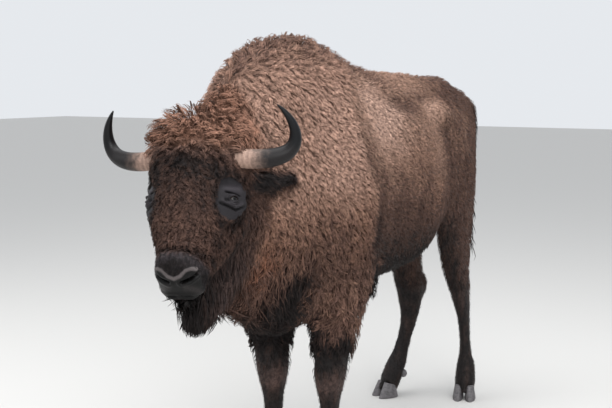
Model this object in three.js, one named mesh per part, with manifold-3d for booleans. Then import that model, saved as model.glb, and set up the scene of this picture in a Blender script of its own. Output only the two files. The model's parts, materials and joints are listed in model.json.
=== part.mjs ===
// A life-size European bison bull (wisent), standing, in millimetres, +Z up.
// The head points along -Y and the animal's left side is +X. Y = 0 lies at the fore feet
// while the shapes are made; the finished group is then centred on its own footprint.
// The solids reach out to the tips of the coat. The body is lofted from named sections,
// joined into one form, and parted into its members by thin cuts.

import * as THREE from "three";
import { LoftGeometry } from "three/addons/geometries/LoftGeometry.js";
import { mergeVertices } from "three/addons/utils/BufferGeometryUtils.js";
import Module from "manifold-3d";

const wasm = await Module();
wasm.setup();

// ---------------------------------------------------------------- driving dimensions

const HUMP_HEIGHT = 1795; // top of the hump's hair
const GAP = 0.5; // width of each thin cut between two members
const WELD = 1e-3; // vertices closer than this are one

const BODY_SIDES = 24; // points round a section of the trunk
const BODY_STEP = 88; // spacing of the trunk's sections
const HEAD_SIDES = 22;
const HEAD_STEP = 35;
const LEG_SIDES = 12;
const LEG_STEP = 66;
const LEG_SHAPE = 2.2; // exponent of a leg's section, a little squarer than an ellipse
const SMOOTHING = 3; // how far a facet may stray where needless ones are merged

// The head's own frame: its origin lies midway between the horns, and its axes run
// to the animal's left, down the face to the nose, and out of the forehead.
const HEAD_AT = new THREE.Vector3(36, -729.5, 1401.5);
const HEAD_TURN = THREE.MathUtils.degToRad(13.8); // to the animal's left
const FACE_TILT = THREE.MathUtils.degToRad(27.8); // of the face from upright, nose forward
const HEAD_ROLL = THREE.MathUtils.degToRad(-2.9);

const EYE_RADIUS = 19;
const EYE_AT = { left: 139, down: 170, out: -55 };

const HOOF_LENGTH = 118; // toe to heel of one claw of a fore hoof
const HOOF_WIDTH = 58;
const HOOF_HEIGHT = 74;
const CLEFT = 7; // between the two claws of a hoof
const DEWCLAW = { z: 112, apart: 27, behind: 54, size: [15, 21, 25] };

const COLOURS = {
  coat: [0x4a3426, 0.95],
  dark: [0x2a201a, 0.95],
  horn: [0x4d463f, 0.45],
  hoof: [0x3a3633, 0.55],
  eye: [0x140d09, 0.08],
};

// ---------------------------------------------------------------- sections

// Trunk and neck, front to back. mid is the height of the widest place; crown and keel
// are the exponents of the section above and below it (2 is an ellipse, less is a ridge).
const TRUNK = [
  { y: -722, x: 36, top: 1340, bottom: 930, half: 66, mid: 1150, crown: 2.0, keel: 2.0 },
  { y: -655, x: 33, top: 1486, bottom: 868, half: 124, mid: 1190, crown: 2.0, keel: 1.8 },
  { y: -560, x: 26, top: 1600, bottom: 800, half: 164, mid: 1190, crown: 1.85, keel: 1.7 },
  { y: -460, x: 18, top: 1694, bottom: 752, half: 206, mid: 1175, crown: 1.75, keel: 1.7 },
  { y: -350, x: 9, top: 1750, bottom: 694, half: 254, mid: 1155, crown: 1.7, keel: 1.7 },
  { y: -210, x: 2, top: 1782, bottom: 652, half: 292, mid: 1140, crown: 1.68, keel: 1.8 },
  { y: -50, x: 0, top: HUMP_HEIGHT, bottom: 658, half: 313, mid: 1135, crown: 1.66, keel: 1.9 },
  { y: 70, x: 0, top: 1781, bottom: 686, half: 322, mid: 1130, crown: 1.66, keel: 2.0 },
  { y: 165, x: 0, top: 1755, bottom: 712, half: 310, mid: 1130, crown: 1.68, keel: 2.1 },
  { y: 270, x: 0, top: 1722, bottom: 734, half: 298, mid: 1130, crown: 1.75, keel: 2.15 },
  { y: 400, x: 0, top: 1688, bottom: 752, half: 306, mid: 1125, crown: 1.85, keel: 2.2 },
  { y: 560, x: 0, top: 1659, bottom: 760, half: 321, mid: 1120, crown: 1.8, keel: 2.2 },
  { y: 680, x: 0, top: 1656, bottom: 763, half: 317, mid: 1120, crown: 1.7, keel: 2.2 },
  { y: 770, x: 0, top: 1655, bottom: 768, half: 297, mid: 1125, crown: 1.6, keel: 2.15 },
  { y: 850, x: 0, top: 1654, bottom: 779, half: 267, mid: 1135, crown: 1.58, keel: 2.1 },
  { y: 930, x: 2, top: 1652, bottom: 797, half: 238, mid: 1150, crown: 1.6, keel: 2.1 },
  { y: 1020, x: 5, top: 1646, bottom: 830, half: 214, mid: 1165, crown: 1.75, keel: 2.0 },
  { y: 1110, x: 8, top: 1634, bottom: 870, half: 204, mid: 1180, crown: 1.85, keel: 2.0 },
  { y: 1210, x: 13, top: 1628, bottom: 915, half: 200, mid: 1200, crown: 1.85, keel: 2.0 },
  { y: 1310, x: 18, top: 1612, bottom: 952, half: 190, mid: 1215, crown: 1.85, keel: 2.0 },
  { y: 1410, x: 24, top: 1592, bottom: 990, half: 160, mid: 1230, crown: 1.9, keel: 2.0 },
  { y: 1500, x: 30, top: 1578, bottom: 1030, half: 120, mid: 1245, crown: 2.0, keel: 2.0 },
  { y: 1570, x: 34, top: 1558, bottom: 1075, half: 90, mid: 1260, crown: 2.1, keel: 2.0 },
  { y: 1620, x: 37, top: 1522, bottom: 1130, half: 62, mid: 1280, crown: 2.1, keel: 2.0 },
  { y: 1648, x: 39, top: 1450, bottom: 1200, half: 26, mid: 1310, crown: 2.0, keel: 2.0 },
];

// Bony and muscular forms that stand proud of the trunk: centre, radii and tilt about X.
const FORMS = [
  { at: [116, 1045, 1446], size: [90, 150, 84], tilt: -14 }, // left hip bone
  { at: [-104, 1045, 1446], size: [90, 150, 84], tilt: -14 }, // right hip bone
  { at: [70, 1518, 1385], size: [63, 100, 104], tilt: 20 }, // left pin bone
  { at: [-6, 1518, 1385], size: [63, 100, 104], tilt: 20 }, // right pin bone
  { at: [12, 1190, 1556], size: [96, 235, 83], tilt: 3 }, // sacrum
];

// Head, crest to lips, in the head's own frame. slant tips a section so that its front
// edge lies higher up the face than its back edge.
const HEAD = [
  { down: -143, half: 84, front: 0, mid: -55, back: -110, brow: 2.0, jaw: 2.0, slant: 0 },
  { down: -122, half: 140, front: 32, mid: -68, back: -160, brow: 2.1, jaw: 2.0, slant: 0 },
  { down: -84, half: 166, front: 60, mid: -85, back: -214, brow: 2.1, jaw: 2.0, slant: 0 },
  { down: -40, half: 175, front: 76, mid: -100, back: -250, brow: 2.2, jaw: 2.0, slant: 0 },
  { down: 20, half: 174, front: 84, mid: -115, back: -268, brow: 2.1, jaw: 2.0, slant: 0 },
  { down: 80, half: 173, front: 84, mid: -138, back: -274, brow: 2.0, jaw: 2.0, slant: 0 },
  { down: 140, half: 172, front: 76, mid: -155, back: -272, brow: 1.9, jaw: 2.0, slant: 0 },
  { down: 200, half: 168, front: 66, mid: -162, back: -262, brow: 1.9, jaw: 2.0, slant: 0 },
  { down: 255, half: 158, front: 57, mid: -160, back: -252, brow: 1.9, jaw: 2.0, slant: -0.03 },
  { down: 305, half: 138, front: 48, mid: -142, back: -232, brow: 1.9, jaw: 2.1, slant: -0.1 },
  { down: 350, half: 108, front: 42, mid: -108, back: -200, brow: 2.0, jaw: 2.2, slant: -0.2 },
  { down: 392, half: 86, front: 43, mid: -76, back: -168, brow: 2.2, jaw: 2.4, slant: -0.33 },
  { down: 428, half: 83, front: 44, mid: -60, back: -148, brow: 2.3, jaw: 2.4, slant: -0.42 },
  { down: 458, half: 79, front: 34, mid: -56, back: -136, brow: 2.2, jaw: 2.3, slant: -0.48 },
  { down: 479, half: 66, front: 12, mid: -56, back: -124, brow: 2.2, jaw: 2.3, slant: -0.5 },
  { down: 488, half: 44, front: -6, mid: -56, back: -110, brow: 2.2, jaw: 2.3, slant: -0.5 },
];

// Forms that stand proud of the head, in its own frame: the bulge round each eye and
// the chin.
const ORBIT = { at: [112, 168, -66], wide: 44, long: 54, deep: 52 };
const CHIN = { at: [0, 450, -92], wide: 54, long: 42, deep: 44 };

// Upper end of each leg to its coronet: height, centre, half width and half depth.
// turn is how far the section is swung towards the toe's direction (0 none, 1 all).
const FORE_LEG = [
  { z: 1400, half: 85, depth: 120, turn: 0 },
  { z: 1240, half: 118, depth: 195, turn: 0 },
  { z: 1080, half: 124, depth: 212, turn: 0 },
  { z: 930, half: 116, depth: 185, turn: 0 },
  { z: 800, half: 108, depth: 150, turn: 0 },
  { z: 700, half: 104, depth: 126, turn: 0 },
  { z: 620, half: 97, depth: 110, turn: 0 },
  { z: 560, half: 86, depth: 95, turn: 0.2 },
  { z: 505, half: 75, depth: 83, turn: 0.4 },
  { z: 450, half: 66, depth: 72, turn: 0.6 },
  { z: 400, half: 51, depth: 58, turn: 0.8 },
  { z: 350, half: 41, depth: 49, turn: 1 },
  { z: 270, half: 37, depth: 44, turn: 1 },
  { z: 200, half: 41, depth: 49, turn: 1 },
  { z: 160, half: 48, depth: 54, turn: 1 },
  { z: 120, half: 46, depth: 50, turn: 1 },
  { z: 80, half: 53, depth: 58, turn: 1 },
  { z: 34, half: 50, depth: 52, turn: 1 },
];
const HIND_LEG = [
  { z: 1400, half: 70, depth: 180, turn: 0 },
  { z: 1240, half: 86, depth: 222, turn: 0 },
  { z: 1090, half: 86, depth: 208, turn: 0 },
  { z: 960, half: 80, depth: 178, turn: 0 },
  { z: 860, half: 75, depth: 148, turn: 0 },
  { z: 770, half: 70, depth: 126, turn: 0.1 },
  { z: 690, half: 64, depth: 118, turn: 0.2 },
  { z: 610, half: 56, depth: 108, turn: 0.4 },
  { z: 550, half: 51, depth: 94, turn: 0.6 },
  { z: 480, half: 43, depth: 77, turn: 0.8 },
  { z: 415, half: 34, depth: 58, turn: 1 },
  { z: 300, half: 29, depth: 46, turn: 1 },
  { z: 220, half: 35, depth: 48, turn: 1 },
  { z: 165, half: 50, depth: 57, turn: 1 },
  { z: 120, half: 50, depth: 55, turn: 1 },
  { z: 80, half: 58, depth: 62, turn: 1 },
  { z: 34, half: 56, depth: 56, turn: 1 },
];

// Each leg's centre line at some heights, and the way its toes point (degrees, + is left).
const LEGS = {
  fore_left: {
    table: FORE_LEG,
    toes: 8,
    line: [
      [1400, 150, 60], [1100, 196, 20], [900, 186, 40], [620, 152, 24], [450, 140, 12],
      [160, 138, 14], [34, 136, -4],
    ],
  },
  fore_right: {
    table: FORE_LEG,
    toes: -6,
    line: [
      [1400, -150, 50], [1100, -190, 5], [900, -176, 20], [620, -128, 0], [450, -110, -12],
      [160, -106, -14], [34, -104, -32],
    ],
  },
  hind_left: {
    table: HIND_LEG,
    toes: 18,
    line: [
      [1400, 92, 1310], [1240, 106, 1300], [960, 120, 1296], [770, 113, 1330], [690, 107, 1362],
      [610, 107, 1392], [550, 113, 1408], [415, 133, 1416], [160, 149, 1418], [34, 154, 1392],
    ],
  },
  hind_right: {
    table: HIND_LEG,
    toes: -28,
    line: [
      [1400, -72, 1310], [1240, -90, 1300], [960, -118, 1270], [770, -130, 1280], [690, -140, 1310],
      [610, -144, 1345], [550, -142, 1360], [415, -139, 1360], [280, -157, 1325], [160, -182, 1290],
      [34, -208, 1236],
    ],
  },
};

// Tail from its root to the end of its tuft: place, half width.
const TAIL = [
  { at: [36, 1590, 1500], r: 44 },
  { at: [38, 1650, 1482], r: 42 },
  { at: [40, 1702, 1440], r: 34 },
  { at: [41, 1722, 1360], r: 27 },
  { at: [40, 1722, 1200], r: 24 },
  { at: [36, 1716, 1020], r: 26 },
  { at: [30, 1708, 880], r: 35 },
  { at: [26, 1700, 760], r: 36 },
  { at: [25, 1694, 680], r: 24 },
  { at: [25, 1690, 630], r: 8 },
];

// Horn's centre line and radius, in the head's own frame (left horn).
const HORN = [
  { at: [112, 24, -45], r: 35 },
  { at: [186, 25, -61], r: 34.5 },
  { at: [232, 20, -72], r: 34 },
  { at: [276, 9, -80], r: 32 },
  { at: [313, -13, -81], r: 28 },
  { at: [332, -47, -62], r: 22.5 },
  { at: [327, -83, -28], r: 16 },
  { at: [306, -110, 7], r: 8.5 },
  { at: [287, -123, 30], r: 2.5 },
];

// Each ear from its root to the end of its hair, in the head's own frame. The left ear is
// held out below its horn and the right one is laid back.
const EARS = {
  left: [
    { at: [111, 55, -141], wide: 34, thick: 34 },
    { at: [156, 53, -161], wide: 40, thick: 30 },
    { at: [197, 45, -189], wide: 47, thick: 25 },
    { at: [234, 30, -224], wide: 44, thick: 19 },
    { at: [265, 8, -259], wide: 30, thick: 13 },
    { at: [285, -12, -284], wide: 9, thick: 6 },
  ],
  right: [
    { at: [-124, 58, -121], wide: 34, thick: 34 },
    { at: [-166, 60, -144], wide: 40, thick: 30 },
    { at: [-194, 55, -184], wide: 46, thick: 25 },
    { at: [-214, 45, -228], wide: 42, thick: 19 },
    { at: [-228, 30, -272], wide: 28, thick: 13 },
    { at: [-236, 15, -304], wide: 9, thick: 6 },
  ],
};

// Beard, hanging from the chin and jaw: height, place, half width, half depth.
const BEARD = [
  { z: 1085, x: 22, y: -652, half: 66, depth: 84 },
  { z: 1010, x: 31, y: -668, half: 76, depth: 106 },
  { z: 925, x: 38, y: -682, half: 76, depth: 122 },
  { z: 875, x: 38, y: -686, half: 68, depth: 116 },
  { z: 825, x: 36, y: -694, half: 48, depth: 90 },
  { z: 780, x: 32, y: -702, half: 16, depth: 32 },
];

// Tuft of long hair under the belly.
const SHEATH = [
  { z: 800, x: 0, y: 668, half: 48, depth: 92 },
  { z: 745, x: 0, y: 652, half: 38, depth: 66 },
  { z: 690, x: 0, y: 640, half: 24, depth: 38 },
  { z: 640, x: 0, y: 632, half: 8, depth: 13 },
];

// The point of each hock, behind the leg's centre line.
const HOCK = { z: 556, behind: 66, size: [42, 68, 88] };

// ---------------------------------------------------------------- small helpers

const up = new THREE.Vector3(0, 0, 1);
const across = new THREE.Vector3(1, 0, 0);
const rad = THREE.MathUtils.degToRad;

// A value between two rows of a table, by a cubic that keeps to the rows' own slopes.
function between(rows, key, field, at) {
  let i = 0;
  const forward = rows[rows.length - 1][key] > rows[0][key] ? 1 : -1;
  while (i < rows.length - 2 && (at - rows[i + 1][key]) * forward > 0) i += 1;
  const slope = (j) => {
    const a = rows[Math.max(j - 1, 0)];
    const b = rows[Math.min(j + 1, rows.length - 1)];
    return (b[field] - a[field]) / (b[key] - a[key]);
  };
  const [p, q] = [rows[i], rows[i + 1]];
  const span = q[key] - p[key];
  const t = (at - p[key]) / span;
  const t2 = t * t;
  const t3 = t2 * t;
  return (
    (2 * t3 - 3 * t2 + 1) * p[field] +
    (t3 - 2 * t2 + t) * span * slope(i) +
    (3 * t2 - 2 * t3) * q[field] +
    (t3 - t2) * span * slope(i + 1)
  );
}

// The whole table, filled in at an even step of its key.
function fill(rows, key, step) {
  const [first, last] = [rows[0][key], rows[rows.length - 1][key]];
  const count = Math.max(2, Math.round(Math.abs(last - first) / step));
  const fields = Object.keys(rows[0]);
  return Array.from({ length: count + 1 }, (_, i) => {
    const at = first + ((last - first) * i) / count;
    return Object.fromEntries(fields.map((f) => [f, f === key ? at : between(rows, key, f, at)]));
  });
}

const superCos = (angle, power) => Math.sign(Math.cos(angle)) * Math.abs(Math.cos(angle)) ** (2 / power);
const superSin = (angle, power) => Math.sign(Math.sin(angle)) * Math.abs(Math.sin(angle)) ** (2 / power);

// A closed ring of points, each given by a function of its angle.
const ring = (sides, point) => Array.from({ length: sides }, (_, i) => point((i / sides) * Math.PI * 2));

// A three.js geometry as a manifold-3d solid.
function solid(geometry) {
  const bare = new THREE.BufferGeometry();
  bare.setAttribute("position", geometry.attributes.position);
  bare.setIndex(geometry.index);
  const merged = mergeVertices(bare, WELD);
  const vertProperties = merged.attributes.position.array;
  const triVerts = new Uint32Array(merged.index.array);
  return new wasm.Manifold(new wasm.Mesh({ numProp: 3, vertProperties, triVerts }));
}

// The middle of a ring of points, and the way its winding faces.
function facing(points) {
  const middle = new THREE.Vector3();
  const normal = new THREE.Vector3();
  points.forEach((p, i) => {
    middle.addScaledVector(p, 1 / points.length);
    normal.add(p.clone().cross(points[(i + 1) % points.length]));
  });
  return { middle, normal };
}

// A closed solid skinned over rings of points, each wound so that its walls face out.
function loft(sections) {
  const first = facing(sections[0]);
  const onward = facing(sections[1]).middle.sub(first.middle);
  const wound = first.normal.dot(onward) > 0 ? sections : sections.map((s) => [...s].reverse());
  return solid(new LoftGeometry(wound, { capStart: true, capEnd: true }));
}

// A tapered tube through rows of { at, r }, or { at, wide, thick } for a flattened section
// that is thin along the reference direction.
function tube(rows, sides, steps, reference) {
  const curve = new THREE.CatmullRomCurve3(rows.map((row) => row.at));
  const size = (t, field) => {
    const place = t * (rows.length - 1);
    const i = Math.min(Math.floor(place), rows.length - 2);
    return THREE.MathUtils.lerp(rows[i][field], rows[i + 1][field], place - i);
  };
  const sections = Array.from({ length: steps + 1 }, (_, k) => {
    const t = k / steps;
    const centre = curve.getPoint(t);
    const along = curve.getTangent(t);
    const side = reference.clone().cross(along).normalize();
    const rise = along.clone().cross(side).normalize();
    const [a, b] = "r" in rows[0] ? [size(t, "r"), size(t, "r")] : [size(t, "wide"), size(t, "thick")];
    return ring(sides, (angle) =>
      centre.clone().addScaledVector(side, a * Math.cos(angle)).addScaledVector(rise, b * Math.sin(angle)),
    );
  });
  return loft(sections);
}

// An ellipsoid, turned about X.
function ellipsoid([x, y, z], [a, b, c], tilt = 0, sides = 12) {
  const ball = new THREE.SphereGeometry(1, sides, sides / 2);
  ball.scale(a, b, c);
  ball.rotateX(rad(tilt));
  ball.translate(x, y, z);
  return solid(ball);
}

// A box between two corners, grown by a margin and turned about X round its centre.
function block(low, high, margin = 0, tilt = 0) {
  const size = high.map((v, i) => v - low[i] + 2 * margin);
  const box = new THREE.BoxGeometry(...size);
  box.rotateX(rad(tilt));
  box.translate(...high.map((v, i) => (v + low[i]) / 2));
  return solid(box);
}

// Everything on the side of a plane that its normal points to.
function beyond(point, normal, margin = 0) {
  const side = 6000;
  const box = new THREE.BoxGeometry(side, side, side);
  box.translate(0, 0, side / 2 - margin);
  box.applyQuaternion(new THREE.Quaternion().setFromUnitVectors(up, normal.clone().normalize()));
  box.translate(point.x, point.y, point.z);
  return solid(box);
}

// The largest piece of a solid that a cut may have left in several.
const largest = (body) => body.decompose().reduce((a, b) => (b.volume() > a.volume() ? b : a));

// Parts a body in two along a cutter made by make(margin), with the thin cut between them.
function part(body, make) {
  return [largest(body.intersect(make(0))), largest(body.subtract(make(GAP)))];
}

// ---------------------------------------------------------------- the head's frame

const headFrame = (() => {
  const ahead = new THREE.Vector3(Math.sin(HEAD_TURN), -Math.cos(HEAD_TURN), 0);
  const left = new THREE.Vector3(Math.cos(HEAD_TURN), Math.sin(HEAD_TURN), 0);
  const out = ahead.clone().multiplyScalar(Math.cos(FACE_TILT)).addScaledVector(up, Math.sin(FACE_TILT));
  const down = ahead.clone().multiplyScalar(Math.sin(FACE_TILT)).addScaledVector(up, -Math.cos(FACE_TILT));
  left.applyAxisAngle(out, -HEAD_ROLL);
  down.applyAxisAngle(out, -HEAD_ROLL);
  return { left, down, out };
})();

const onHead = (left, down, out) =>
  HEAD_AT.clone()
    .addScaledVector(headFrame.left, left)
    .addScaledVector(headFrame.down, down)
    .addScaledVector(headFrame.out, out);

// The same rows with their places carried from the head's frame, on the left or right side.
const headRows = (rows, side = 1) =>
  rows.map((row) => ({ ...row, at: onHead(side * row.at[0], row.at[1], row.at[2]) }));

// ---------------------------------------------------------------- flesh and coat

function trunkForm() {
  const sections = fill(TRUNK, "y", BODY_STEP).map((s) =>
    ring(BODY_SIDES, (angle) => {
      const power = Math.sin(angle) > 0 ? s.crown : s.keel;
      const rise = Math.sin(angle) > 0 ? s.top - s.mid : s.mid - s.bottom;
      const x = s.x + s.half * superCos(angle, power);
      return new THREE.Vector3(x, s.y, s.mid + rise * superSin(angle, power));
    }),
  );
  return FORMS.reduce((body, f) => body.add(ellipsoid(f.at, f.size, f.tilt)), loft(sections));
}

function headForm() {
  const sections = fill(HEAD, "down", HEAD_STEP).map((s) =>
    ring(HEAD_SIDES, (angle) => {
      const power = Math.sin(angle) > 0 ? s.brow : s.jaw;
      const reach = Math.sin(angle) > 0 ? s.front - s.mid : s.mid - s.back;
      const out = s.mid + reach * superSin(angle, power);
      return onHead(s.half * superCos(angle, power), s.down + s.slant * (out - s.mid), out);
    }),
  );
  return loft(sections);
}

// Where a leg's centre line lies at a height.
function centreOf(leg, z) {
  const rows = leg.line.map(([height, x, y]) => ({ height, x, y }));
  return [between(rows, "height", "x", z), between(rows, "height", "y", z)];
}

function legForm(leg) {
  const { table, toes } = leg;
  const sections = fill(table, "z", LEG_STEP).map((s) => {
    const turn = new THREE.Matrix4().makeRotationZ(rad(toes * s.turn));
    const at = new THREE.Vector3(...centreOf(leg, s.z), s.z);
    return ring(LEG_SIDES, (angle) => {
      const [x, y] = [s.half * superCos(angle, LEG_SHAPE), s.depth * superSin(angle, LEG_SHAPE)];
      return new THREE.Vector3(x, y, 0).applyMatrix4(turn).add(at);
    });
  });
  return loft(sections);
}

function hockForm(leg) {
  const [x, y] = centreOf(leg, HOCK.z);
  return ellipsoid([0, HOCK.behind, 0], HOCK.size).rotate([0, 0, leg.toes * 0.5]).translate([x, y, HOCK.z]);
}

// A lock of long hair that hangs straight down, as rows of height, place and half sizes.
function hangingForm(rows, step, sides) {
  const sections = fill(rows, "z", step).map((s) =>
    ring(sides, (angle) => {
      const [x, y] = [s.half * Math.cos(angle), s.depth * Math.sin(angle)];
      return new THREE.Vector3(s.x + x, s.y + y, s.z);
    }),
  );
  return loft(sections);
}

// The rows of a tube, thicker by a margin and longer by it at the root.
function grown(rows, margin) {
  const [first, second] = rows;
  const back = first.at.clone().sub(second.at).setLength(margin);
  return rows.map((row, i) => {
    const at = i === 0 ? row.at.clone().add(back) : row.at.clone();
    const sizes = Object.entries(row).filter(([key]) => key !== "at");
    return { at, ...Object.fromEntries(sizes.map(([key, value]) => [key, value + margin])) };
  });
}

const bodyRows = (rows) => rows.map((row) => ({ ...row, at: new THREE.Vector3(...row.at) }));
const tailForm = () => tube(bodyRows(TAIL), 9, 13, across);
const earForm = (word, margin = 0) => tube(grown(headRows(EARS[word]), margin), 10, 7, headFrame.out);
const hornForm = (side, margin = 0) => tube(grown(headRows(HORN, side), margin), 10, 13, headFrame.out);

// An ellipsoid set on the head.
function headBulge({ at, wide, long, deep }, side = 1) {
  const ball = new THREE.SphereGeometry(1, 12, 6).scale(wide, deep, long);
  ball.applyMatrix4(new THREE.Matrix4().makeBasis(headFrame.left, headFrame.out, headFrame.down));
  const place = onHead(side * at[0], at[1], at[2]);
  return solid(ball.translate(place.x, place.y, place.z));
}

// ---------------------------------------------------------------- hooves

// One claw of a cloven hoof, in the foot's own frame: the toe points along -Y, and the
// claw lies on the +X side of the cleft. Its sole is flat on the floor.
function clawForm(scale, margin = 0) {
  const [length, width, height] = [HOOF_LENGTH * scale, HOOF_WIDTH * scale, HOOF_HEIGHT * scale];
  const levels = [0, 0.1, 0.55, 1];
  const sections = levels.map((level) => {
    const toe = -length * (0.62 - 0.34 * level) - margin;
    const heel = length * (0.38 - 0.1 * level) + margin;
    const outer = width * (level === 0 ? 0.96 : 1 - 0.2 * level) + CLEFT / 2 + margin;
    const inner = CLEFT / 2 - margin;
    const middle = (inner + outer) / 2;
    return ring(11, (angle) => {
      const ahead = Math.sin(angle) < 0;
      const reach = ahead ? -toe : heel;
      const x = middle + ((outer - inner) / 2) * superCos(angle, ahead ? 2.2 : 2.8);
      const y = reach * superSin(angle, ahead ? 1.9 : 2.4);
      const slope = 0.26 * level * y; // the coronet falls from the toe to the heel
      return new THREE.Vector3(x, y, Math.max(level * height - slope, 0) + (level === 1 ? margin : 0));
    });
  });
  return loft(sections);
}

function footFrame(leg) {
  const [, x, y] = leg.line[leg.line.length - 1];
  const turn = new THREE.Matrix4().makeRotationZ(rad(leg.toes));
  return new THREE.Matrix4().makeTranslation(x, y, 0).multiply(turn);
}

const mirrorX = new THREE.Matrix4().makeScale(-1, 1, 1);
const columns = (matrix) => [...matrix.elements];

const claws = (leg, scale, margin = 0) =>
  [1, -1].map((side) => {
    const claw = clawForm(scale, margin);
    return (side > 0 ? claw : claw.transform(columns(mirrorX))).transform(columns(footFrame(leg)));
  });

// The two small claws at the back of the fetlock.
function dewclaws(leg, grow = 0) {
  const [x, y] = centreOf(leg, DEWCLAW.z);
  return [1, -1].map((side) =>
    ellipsoid([side * DEWCLAW.apart, DEWCLAW.behind, 0], DEWCLAW.size.map((r) => r + grow), 30, 8)
      .rotate([0, 0, leg.toes])
      .translate([x, y, DEWCLAW.z]),
  );
}

// ---------------------------------------------------------------- joining and parting

const eyes = [1, -1].map((side) => onHead(side * EYE_AT.left, EYE_AT.down, EYE_AT.out));
const legNames = Object.keys(LEGS);
const hoofScale = (name) => (name.startsWith("fore") ? 1 : 0.96);

function fleshForm() {
  let flesh = trunkForm().add(headForm()).add(tailForm());
  flesh = flesh.add(hangingForm(BEARD, 50, 14)).add(hangingForm(SHEATH, 53, 10));
  for (const side of [1, -1]) flesh = flesh.add(headBulge(ORBIT, side));
  flesh = flesh.add(headBulge(CHIN));
  for (const name of legNames) flesh = flesh.add(legForm(LEGS[name]));
  for (const word of ["left", "right"]) flesh = flesh.add(hockForm(LEGS[`hind_${word}`]));
  return flesh.simplify(SMOOTHING);
}

// Everything that is set into the flesh, a gap larger than itself.
function setIn() {
  const sockets = eyes.map((at) => ellipsoid(at.toArray(), Array(3).fill(EYE_RADIUS + GAP)));
  const horns = [1, -1].map((side) => hornForm(side, GAP));
  const feet = legNames.flatMap((name) => [
    ...claws(LEGS[name], hoofScale(name), GAP),
    ...dewclaws(LEGS[name], GAP),
  ]);
  const ears = Object.keys(EARS).map((word) => earForm(word, GAP));
  return [...sockets, ...horns, ...ears, ...feet];
}

const solids = new Map();
let rest = setIn().reduce((flesh, body) => flesh.subtract(body), fleshForm());

function take(name, make) {
  const [inside, outside] = part(rest, make);
  solids.set(name, inside);
  rest = outside;
}

// Legs, below the elbow and below the flank.
const BELOW_FLOOR = -400;
const SHEATH_CUT = [[-120, 440, 500], [120, 800, 757]];
const FORE_CUT = { inner: 40, outer: 420, front: -240, rear: 250, top: 905, tilt: 0 };
const HIND_CUT = { inner: 10, outer: 420, front: 1010, rear: 1745, top: 1010, tilt: 14 };
for (const [side, word] of [[1, "left"], [-1, "right"]]) {
  for (const [name, cut] of [[`foreleg_${word}`, FORE_CUT], [`hindleg_${word}`, HIND_CUT]]) {
    const [x0, x1] = side > 0 ? [cut.inner, cut.outer] : [-cut.outer, -cut.inner];
    const [low, high] = [[x0, cut.front, BELOW_FLOOR], [x1, cut.rear, cut.top]];
    take(name, (margin) => block(low, high, margin, cut.tilt));
  }
}

// A direction in the head's frame, from its parts down the face and out of it.
const headWay = (down, out) =>
  new THREE.Vector3().addScaledVector(headFrame.down, down).addScaledVector(headFrame.out, out);

// A point on each other cut, and the way to the member that it frees.
const SEAMS = {
  tail: [new THREE.Vector3(40, 1668, 1400), new THREE.Vector3(0, 1, -0.12)],
  chin: [onHead(0, 430, -160), headWay(0.65, -0.76)],
  throat: [new THREE.Vector3(20, -575, 850), new THREE.Vector3(0, -1, 0)],
  head: [onHead(0, 0, -185), headWay(0.42, 1)],
  neck: [new THREE.Vector3(0, -300, 1150), new THREE.Vector3(0, -1, 0.28)],
};
const past = (seam, margin) => beyond(...SEAMS[seam], margin);
take("tail", (margin) => past("tail", margin));
take("sheath_tuft", (margin) => block(...SHEATH_CUT, margin));
take("beard", (margin) => past("chin", margin).intersect(past("throat", margin)));
take("head", (margin) => past("head", margin));
take("neck", (margin) => past("neck", margin));
solids.set("trunk", rest);

for (const [side, word] of [[1, "left"], [-1, "right"]]) {
  solids.set(`horn_${word}`, hornForm(side));
  solids.set(`ear_${word}`, earForm(word));
  solids.set(`eye_${word}`, ellipsoid(eyes[side > 0 ? 0 : 1].toArray(), Array(3).fill(EYE_RADIUS)));
}
for (const name of legNames) {
  claws(LEGS[name], hoofScale(name)).forEach((claw, i) => solids.set(`hoof_${name}_${i ? "b" : "a"}`, claw));
  dewclaws(LEGS[name]).forEach((claw, i) => solids.set(`dewclaw_${name}_${i ? "b" : "a"}`, claw));
}

// ---------------------------------------------------------------- the scene graph

const finishes = Object.fromEntries(
  Object.entries(COLOURS).map(([name, [color, roughness]]) => [
    name,
    new THREE.MeshStandardMaterial({ color, roughness, metalness: 0 }),
  ]),
);

function finishOf(name) {
  if (name.startsWith("horn")) return finishes.horn;
  if (name.startsWith("hoof") || name.startsWith("dewclaw")) return finishes.hoof;
  if (name.startsWith("eye")) return finishes.eye;
  return /beard|tail|leg|sheath/.test(name) ? finishes.dark : finishes.coat;
}

function meshOf(name, body) {
  const { numProp, vertProperties, triVerts } = body.getMesh();
  const count = vertProperties.length / numProp;
  const position = new Float32Array(count * 3);
  for (let i = 0; i < count; i += 1) {
    position.set(vertProperties.subarray(i * numProp, i * numProp + 3), i * 3);
  }
  const geometry = new THREE.BufferGeometry();
  geometry.setAttribute("position", new THREE.BufferAttribute(position, 3));
  geometry.setIndex(new THREE.BufferAttribute(triVerts, 1));
  geometry.computeVertexNormals();
  const mesh = new THREE.Mesh(geometry, finishOf(name));
  mesh.name = name;
  return mesh;
}

const wisent = new THREE.Group();
wisent.name = "wisent";
for (const [name, body] of solids) wisent.add(meshOf(name, body));

// The origin is the middle of the footprint, on the floor.
const bounds = new THREE.Box3().setFromObject(wisent);
wisent.position.set(-(bounds.min.x + bounds.max.x) / 2, -(bounds.min.y + bounds.max.y) / 2, 0);

export default wisent;
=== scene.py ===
"""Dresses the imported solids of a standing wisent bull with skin, coat, eyes, horns and hooves.

All lengths are metres in the row frame: +Z up, -Y the way the body faces, +X the animal's
left. The solids reach to the tips of the coat, so the skin is the same form drawn in by
the coat's depth, and every lock of hair grows from it back out to that outline.
"""

import json
import logging
import math
from collections.abc import Callable
from dataclasses import dataclass, field
from enum import Enum

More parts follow.
